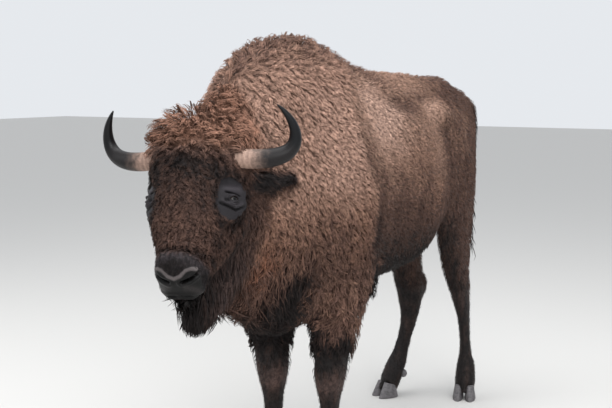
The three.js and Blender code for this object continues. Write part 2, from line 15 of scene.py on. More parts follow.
import bmesh
import bpy
import numpy as np
from mathutils import Matrix, Vector, kdtree
from mathutils.bvhtree import BVHTree

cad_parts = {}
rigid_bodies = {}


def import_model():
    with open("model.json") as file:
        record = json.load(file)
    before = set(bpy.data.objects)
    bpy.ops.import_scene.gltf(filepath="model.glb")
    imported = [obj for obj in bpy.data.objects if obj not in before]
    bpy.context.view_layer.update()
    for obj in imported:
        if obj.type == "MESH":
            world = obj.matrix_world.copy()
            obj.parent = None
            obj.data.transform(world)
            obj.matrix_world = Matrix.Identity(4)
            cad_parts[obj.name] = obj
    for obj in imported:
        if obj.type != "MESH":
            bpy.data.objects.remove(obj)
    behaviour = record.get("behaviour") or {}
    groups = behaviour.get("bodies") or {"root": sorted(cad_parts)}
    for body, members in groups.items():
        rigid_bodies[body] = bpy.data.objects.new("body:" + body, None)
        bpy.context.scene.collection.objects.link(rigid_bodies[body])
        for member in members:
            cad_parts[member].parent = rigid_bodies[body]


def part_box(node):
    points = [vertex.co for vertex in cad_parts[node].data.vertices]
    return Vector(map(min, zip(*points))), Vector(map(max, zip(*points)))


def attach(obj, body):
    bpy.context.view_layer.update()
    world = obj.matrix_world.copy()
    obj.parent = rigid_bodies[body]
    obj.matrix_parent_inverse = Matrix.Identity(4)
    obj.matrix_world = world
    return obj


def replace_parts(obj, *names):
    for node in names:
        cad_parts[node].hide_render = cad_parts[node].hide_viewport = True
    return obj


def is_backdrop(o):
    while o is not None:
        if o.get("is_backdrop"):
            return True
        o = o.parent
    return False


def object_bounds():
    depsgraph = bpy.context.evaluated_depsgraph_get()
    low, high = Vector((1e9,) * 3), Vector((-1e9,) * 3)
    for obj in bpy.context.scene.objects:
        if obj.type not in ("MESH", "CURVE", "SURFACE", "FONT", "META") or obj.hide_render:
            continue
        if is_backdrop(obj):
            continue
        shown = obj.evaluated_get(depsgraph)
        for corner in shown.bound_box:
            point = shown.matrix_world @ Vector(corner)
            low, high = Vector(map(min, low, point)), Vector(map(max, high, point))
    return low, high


LOG = logging.getLogger("wisent")
Array = np.ndarray
Chance = np.random.Generator
Mesh = bpy.types.Mesh
Piece = bpy.types.Object
Material = bpy.types.Material
norm = np.linalg.norm

SIDES = {"left": 1, "right": -1}
FEET = ("fore_left", "fore_right", "hind_left", "hind_right")
LEGS = tuple(f"{end}leg_{side}" for end in ("fore", "hind") for side in SIDES)
FLESH = ("trunk", "neck", "head", "beard", "sheath_tuft", "tail", *LEGS, "ear_left", "ear_right")
BODY = "root"
Span = tuple[float, float]
Place = tuple[float, float, float]
Colour = tuple[float, float, float]


# --- numbers


def smoothstep(value: Array, low: float | Array, high: float | Array) -> Array:
    """Rises smoothly from 0 at low to 1 at high."""
    t = np.clip((value - low) / (high - low), 0.0, 1.0)
    return t * t * (3.0 - 2.0 * t)


def fall(value: Array, low: float | Array, high: float | Array) -> Array:
    """Falls smoothly from 1 at low to 0 at high."""
    return 1.0 - smoothstep(value, low, high)


def hill(value: Array, middle: float, width: float) -> Array:
    """A rounded hill of height 1 at the middle, which spreads by its width to each side."""
    return np.exp(-(((value - middle) / width) ** 2))


def unit(vectors: Array) -> Array:
    """The vectors scaled to length 1, along the last axis."""
    return vectors / np.maximum(norm(vectors, axis=-1, keepdims=True), 1e-9)


def mix(a: Array, b: Array | float, share: Array) -> Array:
    """a where share is 0, b where it is 1, and between them elsewhere."""
    return a + (b - a) * share


def ripple(points: Array, size: float, seed: int, waves: int = 7) -> Array:
    """A smooth random field that is the same on each run.

    Args:
        points: Places, one to a row.
        size: The rough width of its patches.
        seed: Which field of that size to give.
        waves: How many waves are added.

    Returns:
        One number a row, mostly from -1 to 1.
    """
    rng = np.random.default_rng(seed)
    total = np.zeros(len(points))
    for _ in range(waves):
        way = unit(rng.normal(size=3)) * (2.0 * math.pi / size) * rng.uniform(0.6, 1.5)
        total += np.sin(points @ way + rng.uniform(0.0, 2.0 * math.pi))
    return total / math.sqrt(waves)


# --- meshes


def read(items: bpy.types.bpy_prop_collection, key: str, width: int, kind: type) -> Array:
    """Reads one property of all of a mesh's vertices, edges or triangles.

    Args:
        items: What it is read from.
        key: The property's name.
        width: How many numbers it has.
        kind: The numbers' type.

    Returns:
        The numbers, one item to a row.
    """
    flat = np.empty(len(items) * width, kind)
    items.foreach_get(key, flat)
    return flat.reshape(-1, width)


def points_of(mesh: Mesh) -> Array:
    """The vertices' places, one to a row."""
    return read(mesh.vertices, "co", 3, np.float64)


def normals_of(mesh: Mesh) -> Array:
    """The vertices' normals, one to a row."""
    return read(mesh.vertex_normals, "vector", 3, np.float32).astype(float)


def edges_of(mesh: Mesh) -> Array:
    """The edges' pairs of vertices, one to a row."""
    return read(mesh.edges, "vertices", 2, np.int32)


def triangles_of(mesh: Mesh) -> Array:
    """The triangles' three vertices, one to a row."""
    mesh.calc_loop_triangles()
    return read(mesh.loop_triangles, "vertices", 3, np.int32)


def put_points(mesh: Mesh, points: Array) -> None:
    """Moves the vertices to these places."""
    mesh.vertices.foreach_set("co", points.astype(np.float32).ravel())
    mesh.update()


def set_attribute(mesh: Mesh, name: str, values: Array) -> None:
    """Stores a number, or a vector, at each vertex.

    Args:
        mesh: The mesh that gets it.
        name: The attribute's name.
        values: A flat array, or one with three columns.
    """
    kind, key = ("FLOAT", "value") if values.ndim == 1 else ("FLOAT_VECTOR", "vector")
    layer = mesh.attributes.new(name, kind, "POINT")
    layer.data.foreach_set(key, values.astype(np.float32).ravel())


def spread(edges: Array, values: Array, share: Array | float, times: int) -> Array:
    """Evens values out over a mesh, each towards the mean of its neighbours.

    Args:
        edges: The mesh's edges.
        values: A number or a vector for each vertex.
        share: How far each goes at a step, from 0 to 1.
        times: The number of steps.

    Returns:
        The evened values.
    """
    count = len(values)
    table = values.reshape(count, -1).astype(float)
    ends = np.concatenate([edges[:, 0], edges[:, 1]])
    others = np.concatenate([edges[:, 1], edges[:, 0]])
    near = np.maximum(np.bincount(ends, minlength=count), 1)
    pull = np.broadcast_to(np.asarray(share, float), (count,))[:, None]
    for _ in range(times):
        sums = [np.bincount(ends, column[others], count) for column in table.T]
        table = table + pull * (np.stack(sums, 1) / near[:, None] - table)
    return table.reshape(values.shape)


def mesh_from(bm: bmesh.types.BMesh, name: str) -> Mesh:
    """Turns a bmesh into a mesh.

    Args:
        bm: The bmesh, which is freed.
        name: The mesh's name.

    Returns:
        The mesh.
    """
    mesh = bpy.data.meshes.new(name)
    bm.to_mesh(mesh)
    bm.free()
    return mesh


def put_in_scene(name: str, data: bpy.types.ID) -> Piece:
    """Makes an object of a mesh, a light or a camera.

    Args:
        name: The object's name.
        data: What it is made of.

    Returns:
        The object.
    """
    made = bpy.data.objects.new(name, data)
    bpy.context.scene.collection.objects.link(made)
    return made


def link(name: str, mesh: Mesh, slot: str) -> Piece:
    """Makes a piece of a mesh, riding on the one body.

    Args:
        name: The piece's name.
        mesh: Its shape, in place.
        slot: The record's material slot; not used.

    Returns:
        The new object.
    """
    piece = put_in_scene(name, mesh)
    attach(piece, BODY)
    return piece


def merged_copy(node: Piece) -> bmesh.types.BMesh:
    """A node's shape with its loose triangles sewn together.

    Args:
        node: A CAD node, which is left alone.

    Returns:
        A new bmesh, which the caller frees.
    """
    bm = bmesh.new()
    bm.from_mesh(node.data)
    bmesh.ops.remove_doubles(bm, verts=bm.verts, dist=2e-5)
    return bm


def baked_down(piece: Piece) -> Mesh:
    """The mesh that an object's modifiers give.

    Args:
        piece: The object, which is removed.

    Returns:
        The finished mesh.
    """
    graph = bpy.context.evaluated_depsgraph_get()
    mesh = bpy.data.meshes.new_from_object(piece.evaluated_get(graph))
    bpy.data.objects.remove(piece)
    return mesh


# --- the animal's frame


@dataclass(frozen=True)
class HeadFrame:
    """The head's own axes: to its left, down the face, and out of the forehead."""

    turn: float = math.radians(13.8)
    tilt: float = math.radians(27.8)
    roll: float = math.radians(-2.9)
    eye_down: float = 0.170
    eye_out: float = -0.055

    @property
    def axes(self) -> Array:
        """Turns, tilts and rolls the row frame's axes.

        Returns:
            The head's left, down and out axes, as the rows of a 3 by 3 array.
        """
        ahead = np.array([math.sin(self.turn), -math.cos(self.turn), 0.0])
        left = np.array([math.cos(self.turn), math.sin(self.turn), 0.0])
        up = np.array([0.0, 0.0, 1.0])
        out = ahead * math.cos(self.tilt) + up * math.sin(self.tilt)
        down = ahead * math.sin(self.tilt) - up * math.cos(self.tilt)
        c, s = math.cos(self.roll), math.sin(self.roll)
        return np.array([left * c + down * s, down * c - left * s, out])

    @property
    def origin(self) -> Array:
        """Finds the point midway between the horns from the two eyes.

        Returns:
            Its place.
        """
        middle = sum(centre_of(f"eye_{side}") for side in SIDES) / 2.0
        _, down, out = self.axes
        return middle - down * self.eye_down - out * self.eye_out

    def local(self, points: Array) -> Array:
        """The points' left, down and out distances."""
        return (points - self.origin) @ self.axes.T

    def place(self, local: Array) -> Array:
        """The row-frame places of points given as left, down and out."""
        return self.origin + local @ self.axes


def centre_of(node: str) -> Array:
    """The middle of a CAD node's box."""
    low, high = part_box(node)
    return np.array((low + high) / 2.0)


@dataclass
class Axis:
    """A member's centre line, found from its CAD node at even heights.

    overlap is how far each band of heights runs into the next.
    """

    node: str
    bands: int = 14
    overlap: float = 0.03
    heights: Array = field(init=False)
    middles: Array = field(init=False)

    def __post_init__(self) -> None:
        """Measures the middle of each band of the node's vertices."""
        points = points_of(bpy.data.objects[self.node].data)
        edges = np.linspace(points[:, 2].min(), points[:, 2].max(), self.bands + 1)
        rows = []
        for low, high in zip(edges[:-1], edges[1:]):
            band = points[(points[:, 2] >= low - self.overlap) & (points[:, 2] <= high + self.overlap)]
            if len(band):
                middle = (band.min(0) + band.max(0)) / 2.0
                rows.append([(low + high) / 2.0, middle[0], middle[1]])
        table = np.array(rows)
        self.heights, self.middles = table[:, 0], table[:, 1:]

    def at(self, z: Array) -> Array:
        """The centre line's x and y at these heights."""
        x, y = (np.interp(z, self.heights, column) for column in self.middles.T)
        return np.stack([x, y], 1)


# --- the coat's plan


class Member(Enum):
    """The parts of the animal whose coats differ, each named for its method of Markings."""

    BODY = "body"
    SKULL = "skull"
    EAR = "ear"
    FORELEG = "foreleg"
    HINDLEG = "hindleg"
    TAIL = "tail"
    BEARD = "beard"
    SHEATH = "sheath"


MEMBER_OF = {
    "trunk": Member.BODY,
    "neck": Member.BODY,
    "head": Member.SKULL,
    "beard": Member.BEARD,
    "sheath_tuft": Member.SHEATH,
    "tail": Member.TAIL,
    **{f"ear_{side}": Member.EAR for side in SIDES},
    **{f"foreleg_{side}": Member.FORELEG for side in SIDES},
    **{f"hindleg_{side}": Member.HINDLEG for side in SIDES},
}


@dataclass
class CoatMap:
    """What the coat is like at each of a set of places.

    length, depth and width are metres; lift, curl, pale and bare run from 0 to 1; dark
    from 0, tan, to 1, black, which in hollows, creases and under the belly also holds
    painted shade, and on the hip bone painted light; warm from -1, ash grey, to 1, rufous;
    fill is how much of the depth the hair stands through; dense is the share of the full
    number of locks; lie is the way hair points.
    """

    length: Array
    depth: Array
    width: Array
    fill: Array
    lift: Array
    curl: Array
    dense: Array
    dark: Array
    warm: Array
    pale: Array
    bare: Array
    lie: Array

    SCALARS = ("length", "depth", "width", "fill", "lift", "curl", "dense", "dark", "warm", "pale", "bare")

    @classmethod
    def blank(cls, count: int) -> "CoatMap":
        """Starts a plan.

        Args:
            count: How many places it has.

        Returns:
            A plan without colour or length, and with its hair standing full and thick.
        """
        made = {name: np.zeros(count) for name in cls.SCALARS}
        made["fill"] = np.ones(count)
        made["dense"] = np.ones(count)
        made["lie"] = np.tile([0.0, 0.5, -0.9], (count, 1))
        return cls(**made)

    def evened(self, edges: Array, times: int) -> "CoatMap":
        """Blends the plan's borders.

        Args:
            edges: The edges of the mesh whose vertices are its places.
            times: How many edges far it is blended.

        Returns:
            The blended plan.
        """
        rough = np.column_stack([getattr(self, name) for name in self.SCALARS] + [self.lie])
        even = spread(edges, rough, 0.5, times)
        made = {name: even[:, i] for i, name in enumerate(self.SCALARS)}
        return CoatMap(**made, lie=even[:, len(self.SCALARS) :])

    def sampled(self, triangles: Array, weights: Array) -> "CoatMap":
        """The plan at points inside triangles.

        Args:
            triangles: Three vertices for each point.
            weights: The share of each of the three.

        Returns:
            The plan at those points.
        """
        made = {}
        for name in (*self.SCALARS, "lie"):
            corners = getattr(self, name)[triangles]
            shares = weights if corners.ndim == 2 else weights[:, :, None]
            made[name] = (corners * shares).sum(1)
        return CoatMap(**made)


@dataclass
class Site:
    """One member's places and normals, and the rows of the plan that are its own."""

    coat: CoatMap
    rows: Array
    places: Array
    normals: Array

    def put(self, **values: Array | float) -> None:
        """Sets named fields of the plan on this member."""
        for name, value in values.items():
            getattr(self.coat, name)[self.rows] = value


@dataclass(frozen=True)
class Cut:
    """How long the hair of a zone is, and how deep its coat is over the skin."""

    length: Array | float
    depth: Array | float

    def to(self, other: "Cut", share: Array) -> "Cut":
        """This cut where share is 0, and the other where it is 1."""
        return Cut(mix(self.length, other.length, share), mix(self.depth, other.depth, share))


STRAIGHT_DOWN = np.array([0.0, 0.0, -1.0])
BODY_CUT = Cut(0.030, 0.012)
MANE_CUT = Cut(0.042, 0.021)
CREST_CUT = Cut(0.048, 0.034)
THROAT_CUT = Cut(0.120, 0.050)
BELLY_CUT = Cut(0.050, 0.018)
CHEEK_CUT = Cut(0.030, 0.016)
BROW_CUT = Cut(0.026, 0.014)
SNOUT_CUT = Cut(0.017, 0.014)
CROWN_CUT = Cut(0.060, 0.036)
JAW_CUT = Cut(0.090, 0.026)
NOSE_CUT = Cut(0.014, 0.004)
RING_CUT = Cut(0.012, 0.004)
BARE_CUT = Cut(0.008, 0.0015)
HORN_CUT = Cut(0.030, 0.009)
CANNON_CUT = Cut(0.018, 0.0055)
FOREARM_CUT = Cut(0.055, 0.018)
SKIRT_CUT = Cut(0.075, 0.028)
HOCK_CUT = Cut(0.020, 0.005)
THIGH_CUT = Cut(0.034, 0.012)
DOCK_CUT = Cut(0.035, 0.008)
TUFT_CUT = Cut(0.15, 0.018)


@dataclass(frozen=True)
class Blotch:
    """A rounded patch of the body that is darker, redder, paler or more hollow; in the hollows the darkening
    is painted shade, and on the hip bone the paling is painted light.

    The same patch lies on both sides of the animal. Its edge runs over the span in which
    the share falls, and ragged by a ripple of a set size.
    """

    at: Place
    size: Place
    dark: float = 0.0
    warm: float = 0.0
    pale: float = 0.0
    hollow: float = 0.0
    edge: Span = (0.15, 1.1)
    ragged: float = 0.16
    ripple_size: float = 0.11

    def share(self, points: Array) -> Array:
        """Measures how far each place belongs to the patch.

        Args:
            points: The places.

        Returns:
            The shares, from 0 to 1.
        """
        folded = np.column_stack([np.abs(points[:, 0]), points[:, 1:]])
        reach = norm((folded - np.array(self.at)) / np.array(self.size), axis=1)
        reach = reach + self.ragged * ripple(points, self.ripple_size, 21)
        return fall(reach, *self.edge)


HORN_ROOT = (0.120, 0.024, -0.047)

BLOTCHES = (
    Blotch((0.24, -0.52, 1.44), (0.12, 0.18, 0.36), pale=0.55, dark=-0.08),  # shoulder
    Blotch((0.22, -0.10, 1.48), (0.16, 0.26, 0.22), pale=0.95, dark=-0.22),  # behind it
    Blotch((0.17, 0.17, 1.525), (0.11, 0.27, 0.055), dark=0.30, hollow=0.012),  # before the hip: painted shade in the hollow
    # painted shade in a second hollow near the hip
    Blotch((0.12, 0.46, 1.55), (0.08, 0.13, 0.045), dark=0.24, hollow=0.008),
    Blotch((0.17, 0.54, 1.47), (0.10, 0.14, 0.075), dark=-0.30, pale=0.45),  # hip bone: painted light on its ridge
    Blotch((0.28, 0.10, 1.28), (0.12, 0.28, 0.16), dark=0.03, warm=0.1),  # ribs
    Blotch((0.30, 0.27, 1.10), (0.12, 0.13, 0.20), dark=-0.12, warm=0.2),
    Blotch((0.19, 0.63, 1.28), (0.10, 0.10, 0.22), dark=0.16, hollow=0.008),  # flank fold: painted shade in the fold
    Blotch((0.16, 0.84, 1.38), (0.12, 0.20, 0.20), dark=-0.14, pale=0.1),
    Blotch((0.13, -0.90, 0.98), (0.12, 0.10, 0.22), dark=-0.12, warm=0.75),  # throat
    Blotch((0.15, -0.69, 0.87), (0.12, 0.10, 0.19), dark=0.72, hollow=0.024),  # chest hollow: painted shade in it
    # painted shade in a second hollow, further forward
    Blotch((0.12, -0.98, 0.93), (0.08, 0.06, 0.08), dark=0.40, hollow=0.014),
    Blotch((0.27, -0.60, 1.07), (0.12, 0.16, 0.13), dark=0.10),  # elbow
)


@dataclass(frozen=True)
class Markings:
    """Where the coat is long or short, dark or pale, and which way it lies; part of the dark is painted
    shade in hollows and creases, and part of the pale painted light.

    The mane ends at its edges, given for some heights. Each span is where a zone's share
    rises from 0 to 1, or falls; those of the head are in its own frame.
    """

    head: HeadFrame
    mane_heights: tuple[float, ...] = (0.60, 0.90, 1.00, 1.11, 1.22, 1.30, 1.43, 1.56, 1.65, 1.72, 1.80)
    mane_edges: tuple[float, ...] = (
        *(-0.25, -0.28, -0.37, -0.34, -0.33, -0.37),
        *(-0.41, -0.38, -0.30, -0.16, 0.0),
    )
    crest_height: Span = (1.45, 1.62)
    belly_height: Span = (0.80, 1.04)
    throat_height: Span = (0.85, 1.10)
    throat_end: Span = (-0.75, -0.58)
    rump_start: Span = (0.5, 0.85)
    crown_down: Span = (-0.02, 0.075)
    front_out: Span = (-0.14, -0.03)
    nose_start: float = 0.356
    nose_out: Span = (-0.13, -0.08)
    jaw_out: Span = (-0.20, -0.12)
    jaw_down: Span = (0.16, 0.30)
    lip_down: Span = (0.38, 0.42)
    lip_out: Span = (-0.11, -0.07)
    lids: Span = (0.88, 1.00)
    lid_ring: Span = (1.02, 1.25)
    lid_shade: Span = (1.04, 1.60)
    horn_hair: Span = (0.045, 0.080)
    face_fold: float = 0.362
    knee: float = 0.435
    knee_top: Span = (0.44, 0.56)
    hem: float = 0.665
    stifle: Span = (0.42, 0.80)
    tail_tuft: Span = (0.85, 1.15)

    def plan(self, points: Array, normals: Array, members: Array) -> CoatMap:
        """Works out the coat at each vertex of the form.

        Args:
            points: Places on the outline of the coat.
            normals: The outward normals there.
            members: The Member at each place.

        Returns:
            The plan, not yet blended from member to member.
        """
        coat = CoatMap.blank(len(points))
        for member in Member:
            rows = np.flatnonzero(members == member.value)
            job: Callable[[Site], None] = getattr(self, member.value)
            job(Site(coat, rows, points[rows], normals[rows]))
        return coat

    def body(self, site: Site) -> None:
        """The trunk and neck: a woolly fore end, and a shorter coat behind it.

        Args:
            site: The body's places.
        """
        p, n = site.places, site.normals
        x, y, z = p.T
        edge = np.interp(z, self.mane_heights, self.mane_edges)
        mane = fall(y, edge - 0.03, edge + 0.035)
        crest = smoothstep(n[:, 2], 0.45, 0.85) * smoothstep(z, *self.crest_height)
        crest = crest * fall(y, 0.0, 0.3)
        low = fall(z, *self.belly_height)
        throat = mane * fall(z, *self.throat_height) * fall(y, *self.throat_end)
        rump = smoothstep(y, *self.rump_start)
        cut = BODY_CUT.to(MANE_CUT, mane).to(CREST_CUT, crest)
        cut = cut.to(THROAT_CUT, throat).to(BELLY_CUT, low * (1.0 - mane))
        lie = mix(np.array([0.0, 0.55, -0.85]), np.array([0.0, 0.22, -1.0]), mane[:, None])
        lie = mix(lie, np.array([0.0, 0.9, 0.0]), crest[:, None])
        lie = mix(lie, STRAIGHT_DOWN, throat[:, None])
        lie = mix(lie, np.array([0.0, 0.35, -1.0]), rump[:, None])
        high = smoothstep(z, 0.98, 1.34)
        dark = mix(mix(0.62, 0.20, high), mix(0.36, 0.10, smoothstep(z, 1.0, 1.3)), mane)
        dark = mix(dark, 0.50, rump)
        # the belly's hair is dark, and is made black here partly as painted shade of the underside
        dark = mix(dark, 1.0, low * (1.0 - 0.6 * mane))
        # under the chest between the forelegs: dark hair, deepened with painted shade
        under = mane * fall(z, 0.80, 0.93)
        under = under * fall(np.abs(x - 0.03), 0.10, 0.20)
        under = under * smoothstep(y, -0.88, -0.76)
        dark = mix(dark, 0.96, under)
        dark = mix(dark, 0.44, crest)
        warm = 0.15 + 0.2 * mane
        pale = mix(0.20 * high * (1.0 - rump), 0.80 * smoothstep(z, 1.05, 1.3), mane * (1.0 - crest))
        # a groove behind the mane's edge, darkened with painted shade
        behind = hill(y - edge, 0.065, 0.05) * smoothstep(z, 0.86, 1.0) * fall(z, 1.35, 1.55)
        dark = dark + 0.17 * behind
        hollow = 0.012 * behind
        for blotch in BLOTCHES:
            share = blotch.share(p)
            dark = dark + blotch.dark * share
            warm = warm + blotch.warm * share
            pale = pale + blotch.pale * share
            hollow = hollow + blotch.hollow * share
        site.put(
            length=cut.length,
            depth=cut.depth + hollow,
            width=mix(mix(0.0034, 0.0031, mane), 0.0038, crest),
            fill=1.0 - hollow / (cut.depth + hollow),
            lift=mix(mix(0.45, 0.50, mane), 0.9, crest),
            curl=mix(mix(0.50, 0.80, mane * (1.0 - 0.6 * throat)), 0.95, crest),
            dark=np.clip(dark, 0.0, 1.0),
            warm=np.clip(warm, 0.0, 1.0),
            pale=np.clip(pale, 0.0, 1.0),
            lie=lie,
        )

    def skull(self, site: Site) -> None:
        """The head: a shaggy crown, curly face, bare lids and a bare muzzle.

        Args:
            site: The head's places.
        """
        p, n = site.places, site.normals
        local = self.head.local(p)
        side, down, out = local.T
        muzzle = Muzzle(self.head)
        crown = fall(down, *self.crown_down)
        front = smoothstep(out, *self.front_out)
        soft = mix(0.050, 0.034, smoothstep(out, -0.05, 0.0))
        level = down + 0.1 * out
        nose = smoothstep((level - self.nose_start) / soft, 0.0, 1.0) * smoothstep(out, *self.nose_out)
        jaw = fall(out, *self.jaw_out) * smoothstep(down, *self.jaw_down)
        lip = smoothstep(down, *self.lip_down) * fall(out, *self.lip_out)
        jaw = np.maximum(jaw, lip)
        pad = muzzle.pad(local)
        rim = muzzle.rim_share(local)
        lids = self.lid_patch(p, n, self.lids)
        ring = np.clip(self.lid_patch(p, n, self.lid_ring) - lids, 0.0, 1.0)
        shade = np.clip(self.lid_patch(p, n, self.lid_shade) - lids, 0.0, 1.0)
        bare = np.maximum(lids, np.maximum(pad, rim))
        folded = np.stack([np.abs(side), down, out], 1)
        from_horn = norm(folded - np.array(HORN_ROOT), axis=1)
        horn = fall(from_horn, *self.horn_hair)
        face = BROW_CUT.to(SNOUT_CUT, smoothstep(down, 0.20, 0.36))
        cut = CHEEK_CUT.to(face, front).to(CROWN_CUT, crown).to(JAW_CUT, jaw)
        cut = cut.to(NOSE_CUT, nose * (1.0 - jaw)).to(RING_CUT, ring)
        cut = cut.to(BARE_CUT, bare).to(HORN_CUT, horn)
        axes = self.head.axes
        sign = np.sign(side)[:, None]
        lie = mix(axes[1] * 0.9 - axes[2] * 0.4, axes[1] + sign * axes[0] * 0.30, front[:, None])
        parted = axes[1] * 0.75 + axes[2] * 0.2 + sign * axes[0] * 0.45
        lie = mix(lie, parted, (crown * front)[:, None])
        lie = mix(lie, np.array([0.0, 0.1, -1.0]), jaw[:, None])
        lie = mix(lie, sign * axes[0] + axes[1] * 0.2, horn[:, None])
        band = hill(down, 0.085, 0.045) * front
        dark = mix(0.70, 0.14, crown * (1.0 - 0.5 * band)) + 0.16 * band
        dark = mix(dark, 0.66, (1.0 - front) * (1.0 - crown) * 0.6)
        dark = dark - 0.14 * hill(down, 0.27, 0.06) * smoothstep(out, -0.06, 0.02)
        # painted shade in the crease across the face, and a lighter line along the fold just above it
        dark = mix(dark, 0.90, hill(level, self.face_fold, 0.010) * front)
        dark = mix(dark, 0.50, hill(level, self.face_fold - 0.022, 0.010) * front)
        ash = nose * nose * (1.0 - jaw)
        middle = hill(side, 0.0, 0.026) * hill(down, 0.424, 0.022)
        bridge = mix(0.64, 0.90, smoothstep(down, 0.385, 0.425))
        dark = mix(dark, np.clip(bridge + 0.26 * middle, 0.0, 0.95), ash)
        dark = mix(dark, mix(0.93, 0.62, smoothstep(-out, 0.16, 0.26)), jaw)
        dark = mix(dark, 0.36, 0.7 * horn)
        dark = mix(dark, 0.90, shade)
        site.put(
            length=cut.length,
            depth=cut.depth,
            width=mix(mix(0.0026, 0.0034, crown), 0.0018, nose),
            fill=1.0 + 0.5 * crown * smoothstep(out, -0.12, -0.04),
            lift=mix(mix(0.75, 0.7, crown), 0.25, nose),
            curl=mix(mix(0.90, 0.55, crown), 0.10, np.maximum(nose, jaw)),
            dense=(1.0 - bare) * (1.0 - 0.6 * nose * (1.0 - jaw)),
            dark=np.clip(dark, 0.0, 1.0),
            warm=mix(mix(0.15, 0.68, crown), -1.0, np.maximum(ash, 0.4 * jaw)),
            pale=np.maximum(0.45 * crown, 0.7 * horn),
            bare=bare,
            lie=lie,
        )

    def lid_patch(self, p: Array, n: Array, edge: Span) -> Array:
        """How far each place belongs to the patch round an eye.

        Args:
            p: The places.
            n: Their normals.
            edge: How far out in the patch the share is still 1, and how far out it is 0.

        Returns:
            The share.
        """
        found = np.zeros(len(p))
        for eye in eyes_of(self.head):
            near = (norm(p - eye.centre, axis=1) < 0.14) & (n @ eye.axes[2] > 0.05)
            found = np.maximum(found, fall(eye.patch(p), *edge) * near)
        return found

    def kept_bare(self, p: Array) -> Array:
        """Finds the places that no lock may hang over: the lid patches and the nose pad.

        Args:
            p: The places.

        Returns:
            A mask of them.
        """
        bare = Muzzle(self.head).pad(self.head.local(p)) > 0.5
        for eye in eyes_of(self.head):
            near = (norm(p - eye.centre, axis=1) < 0.11) & (eye.local(p)[:, 2] > -0.02)
            bare = bare | (near & (eye.patch(p) < 0.89))
        return bare

    def ear(self, site: Site) -> None:
        """The ears: dark and shaggy, the hair running to the tip.

        Args:
            site: The ears' places.
        """
        lie = np.zeros_like(site.places)
        for word, sign in SIDES.items():
            mine = np.sign(self.head.local(site.places)[:, 0]) == sign
            root = self.head.place(np.array([sign * 0.12, 0.055, -0.13]))
            lie[mine] = unit(centre_of(f"ear_{word}") - root)
        lie = lie + np.array([0.0, 0.0, -0.25])
        site.put(length=0.052, depth=0.010, width=0.0026, lift=0.45, curl=0.3, dark=0.97, warm=-0.2, lie=lie)

    def foreleg(self, site: Site) -> None:
        """The fore legs: shaggy to the knee, short and dark below it.

        Args:
            site: The fore legs' places.
        """
        p, n = site.places, site.normals
        z = p[:, 2]
        upper = smoothstep(z, *self.knee_top)
        inner = smoothstep(-n[:, 0] * np.sign(p[:, 0]), -0.2, 0.6)
        rear = smoothstep(n[:, 1], -0.3, 0.5)
        hem = self.hem - 0.10 * rear * (1.0 - inner) + 0.02 * ripple(p, 0.05, 3)
        skirt = smoothstep(z, hem - 0.012, hem + 0.02)
        knee = hill(z, self.knee, 0.05)
        cut = CANNON_CUT.to(FOREARM_CUT, upper).to(SKIRT_CUT, skirt)
        dark = mix(0.97 - 0.36 * knee, mix(0.42, 0.88, inner), skirt)
        # painted shade in the hollow between the tops of the forelegs
        between = fall(np.abs(p[:, 0] - 0.03), 0.07, 0.14) * smoothstep(z, 0.60, 0.68)
        dark = mix(dark, 0.94, between)
        site.put(
            length=cut.length,
            depth=cut.depth,
            width=mix(0.0024, 0.0044, upper),
            lift=mix(0.25, 0.5, upper),
            curl=mix(mix(0.35, 0.6, upper), 0.85, skirt),
            dark=dark,
            warm=0.35 * skirt - 0.35 * knee,
            pale=0.25 * skirt * (1.0 - inner),
            lie=np.array([0.0, 0.08, -1.0]),
        )

    def hindleg(self, site: Site) -> None:
        """The hind legs: a short dark coat.

        Args:
            site: The hind legs' places.
        """
        n, z = site.normals, site.places[:, 2]
        upper = smoothstep(z, *self.stifle)
        rear = smoothstep(n[:, 1] + 0.3 * np.abs(n[:, 0]), 0.0, 0.7)
        front = smoothstep(-n[:, 1], 0.1, 0.7)
        dark = mix(0.93, 0.62, upper) - 0.12 * rear * smoothstep(z, 0.25, 0.6) + 0.22 * front * upper
        cut = HOCK_CUT.to(THIGH_CUT, upper)
        site.put(
            length=cut.length,
            depth=cut.depth,
            width=mix(0.0024, 0.0032, upper),
            lift=0.25,
            curl=0.2,
            dark=dark,
            warm=0.1 + 0.3 * rear,
            lie=np.array([0.0, 0.15, -1.0]),
        )

    def tail(self, site: Site) -> None:
        """The tail: short-haired to its tuft, which hangs.

        Args:
            site: The tail's places.
        """
        tuft = fall(site.places[:, 2], *self.tail_tuft)
        cut = DOCK_CUT.to(TUFT_CUT, tuft)
        site.put(length=cut.length, depth=cut.depth, width=mix(0.003, 0.004, tuft))
        site.put(lift=0.3, curl=0.15, dark=mix(0.75, 0.97, tuft), warm=0.1, lie=STRAIGHT_DOWN)

    def beard(self, site: Site) -> None:
        """The beard: long, straight and nearly black.

        Args:
            site: The beard's places.
        """
        _, y, z = site.places.T
        rear = smoothstep(y + 0.35 * (z - 0.9), -1.15, -1.03)
        site.put(length=0.13, depth=0.034, width=0.0036, lift=0.4, curl=0.12)
        site.put(dark=mix(1.0, 0.72, rear), warm=-0.45 * rear, pale=0.15 * rear)
        site.put(lie=np.array([0.0, -0.05, -1.0]))

    def sheath(self, site: Site) -> None:
        """The long tuft under the belly."""
        site.put(length=0.09, depth=0.022, width=0.0034, lift=0.35, curl=0.15)
        site.put(dark=0.97, lie=STRAIGHT_DOWN)


# --- eyes and face


@dataclass(frozen=True)
class Ridge:
    """A rounded ridge, or a groove, of the lids.

    It stands height over the plain form along a middle line, is width wide, and fades
    out over a span to the sides of the eye.
    """

    height: float
    middle: float
    width: float
    fade: Span

    def over(self, across: Array, aside: Array) -> Array:
        """How high it stands at places this far across it and aside of the eye."""
        return self.height * hill(across, self.middle, self.width) * fall(aside, *self.fade)


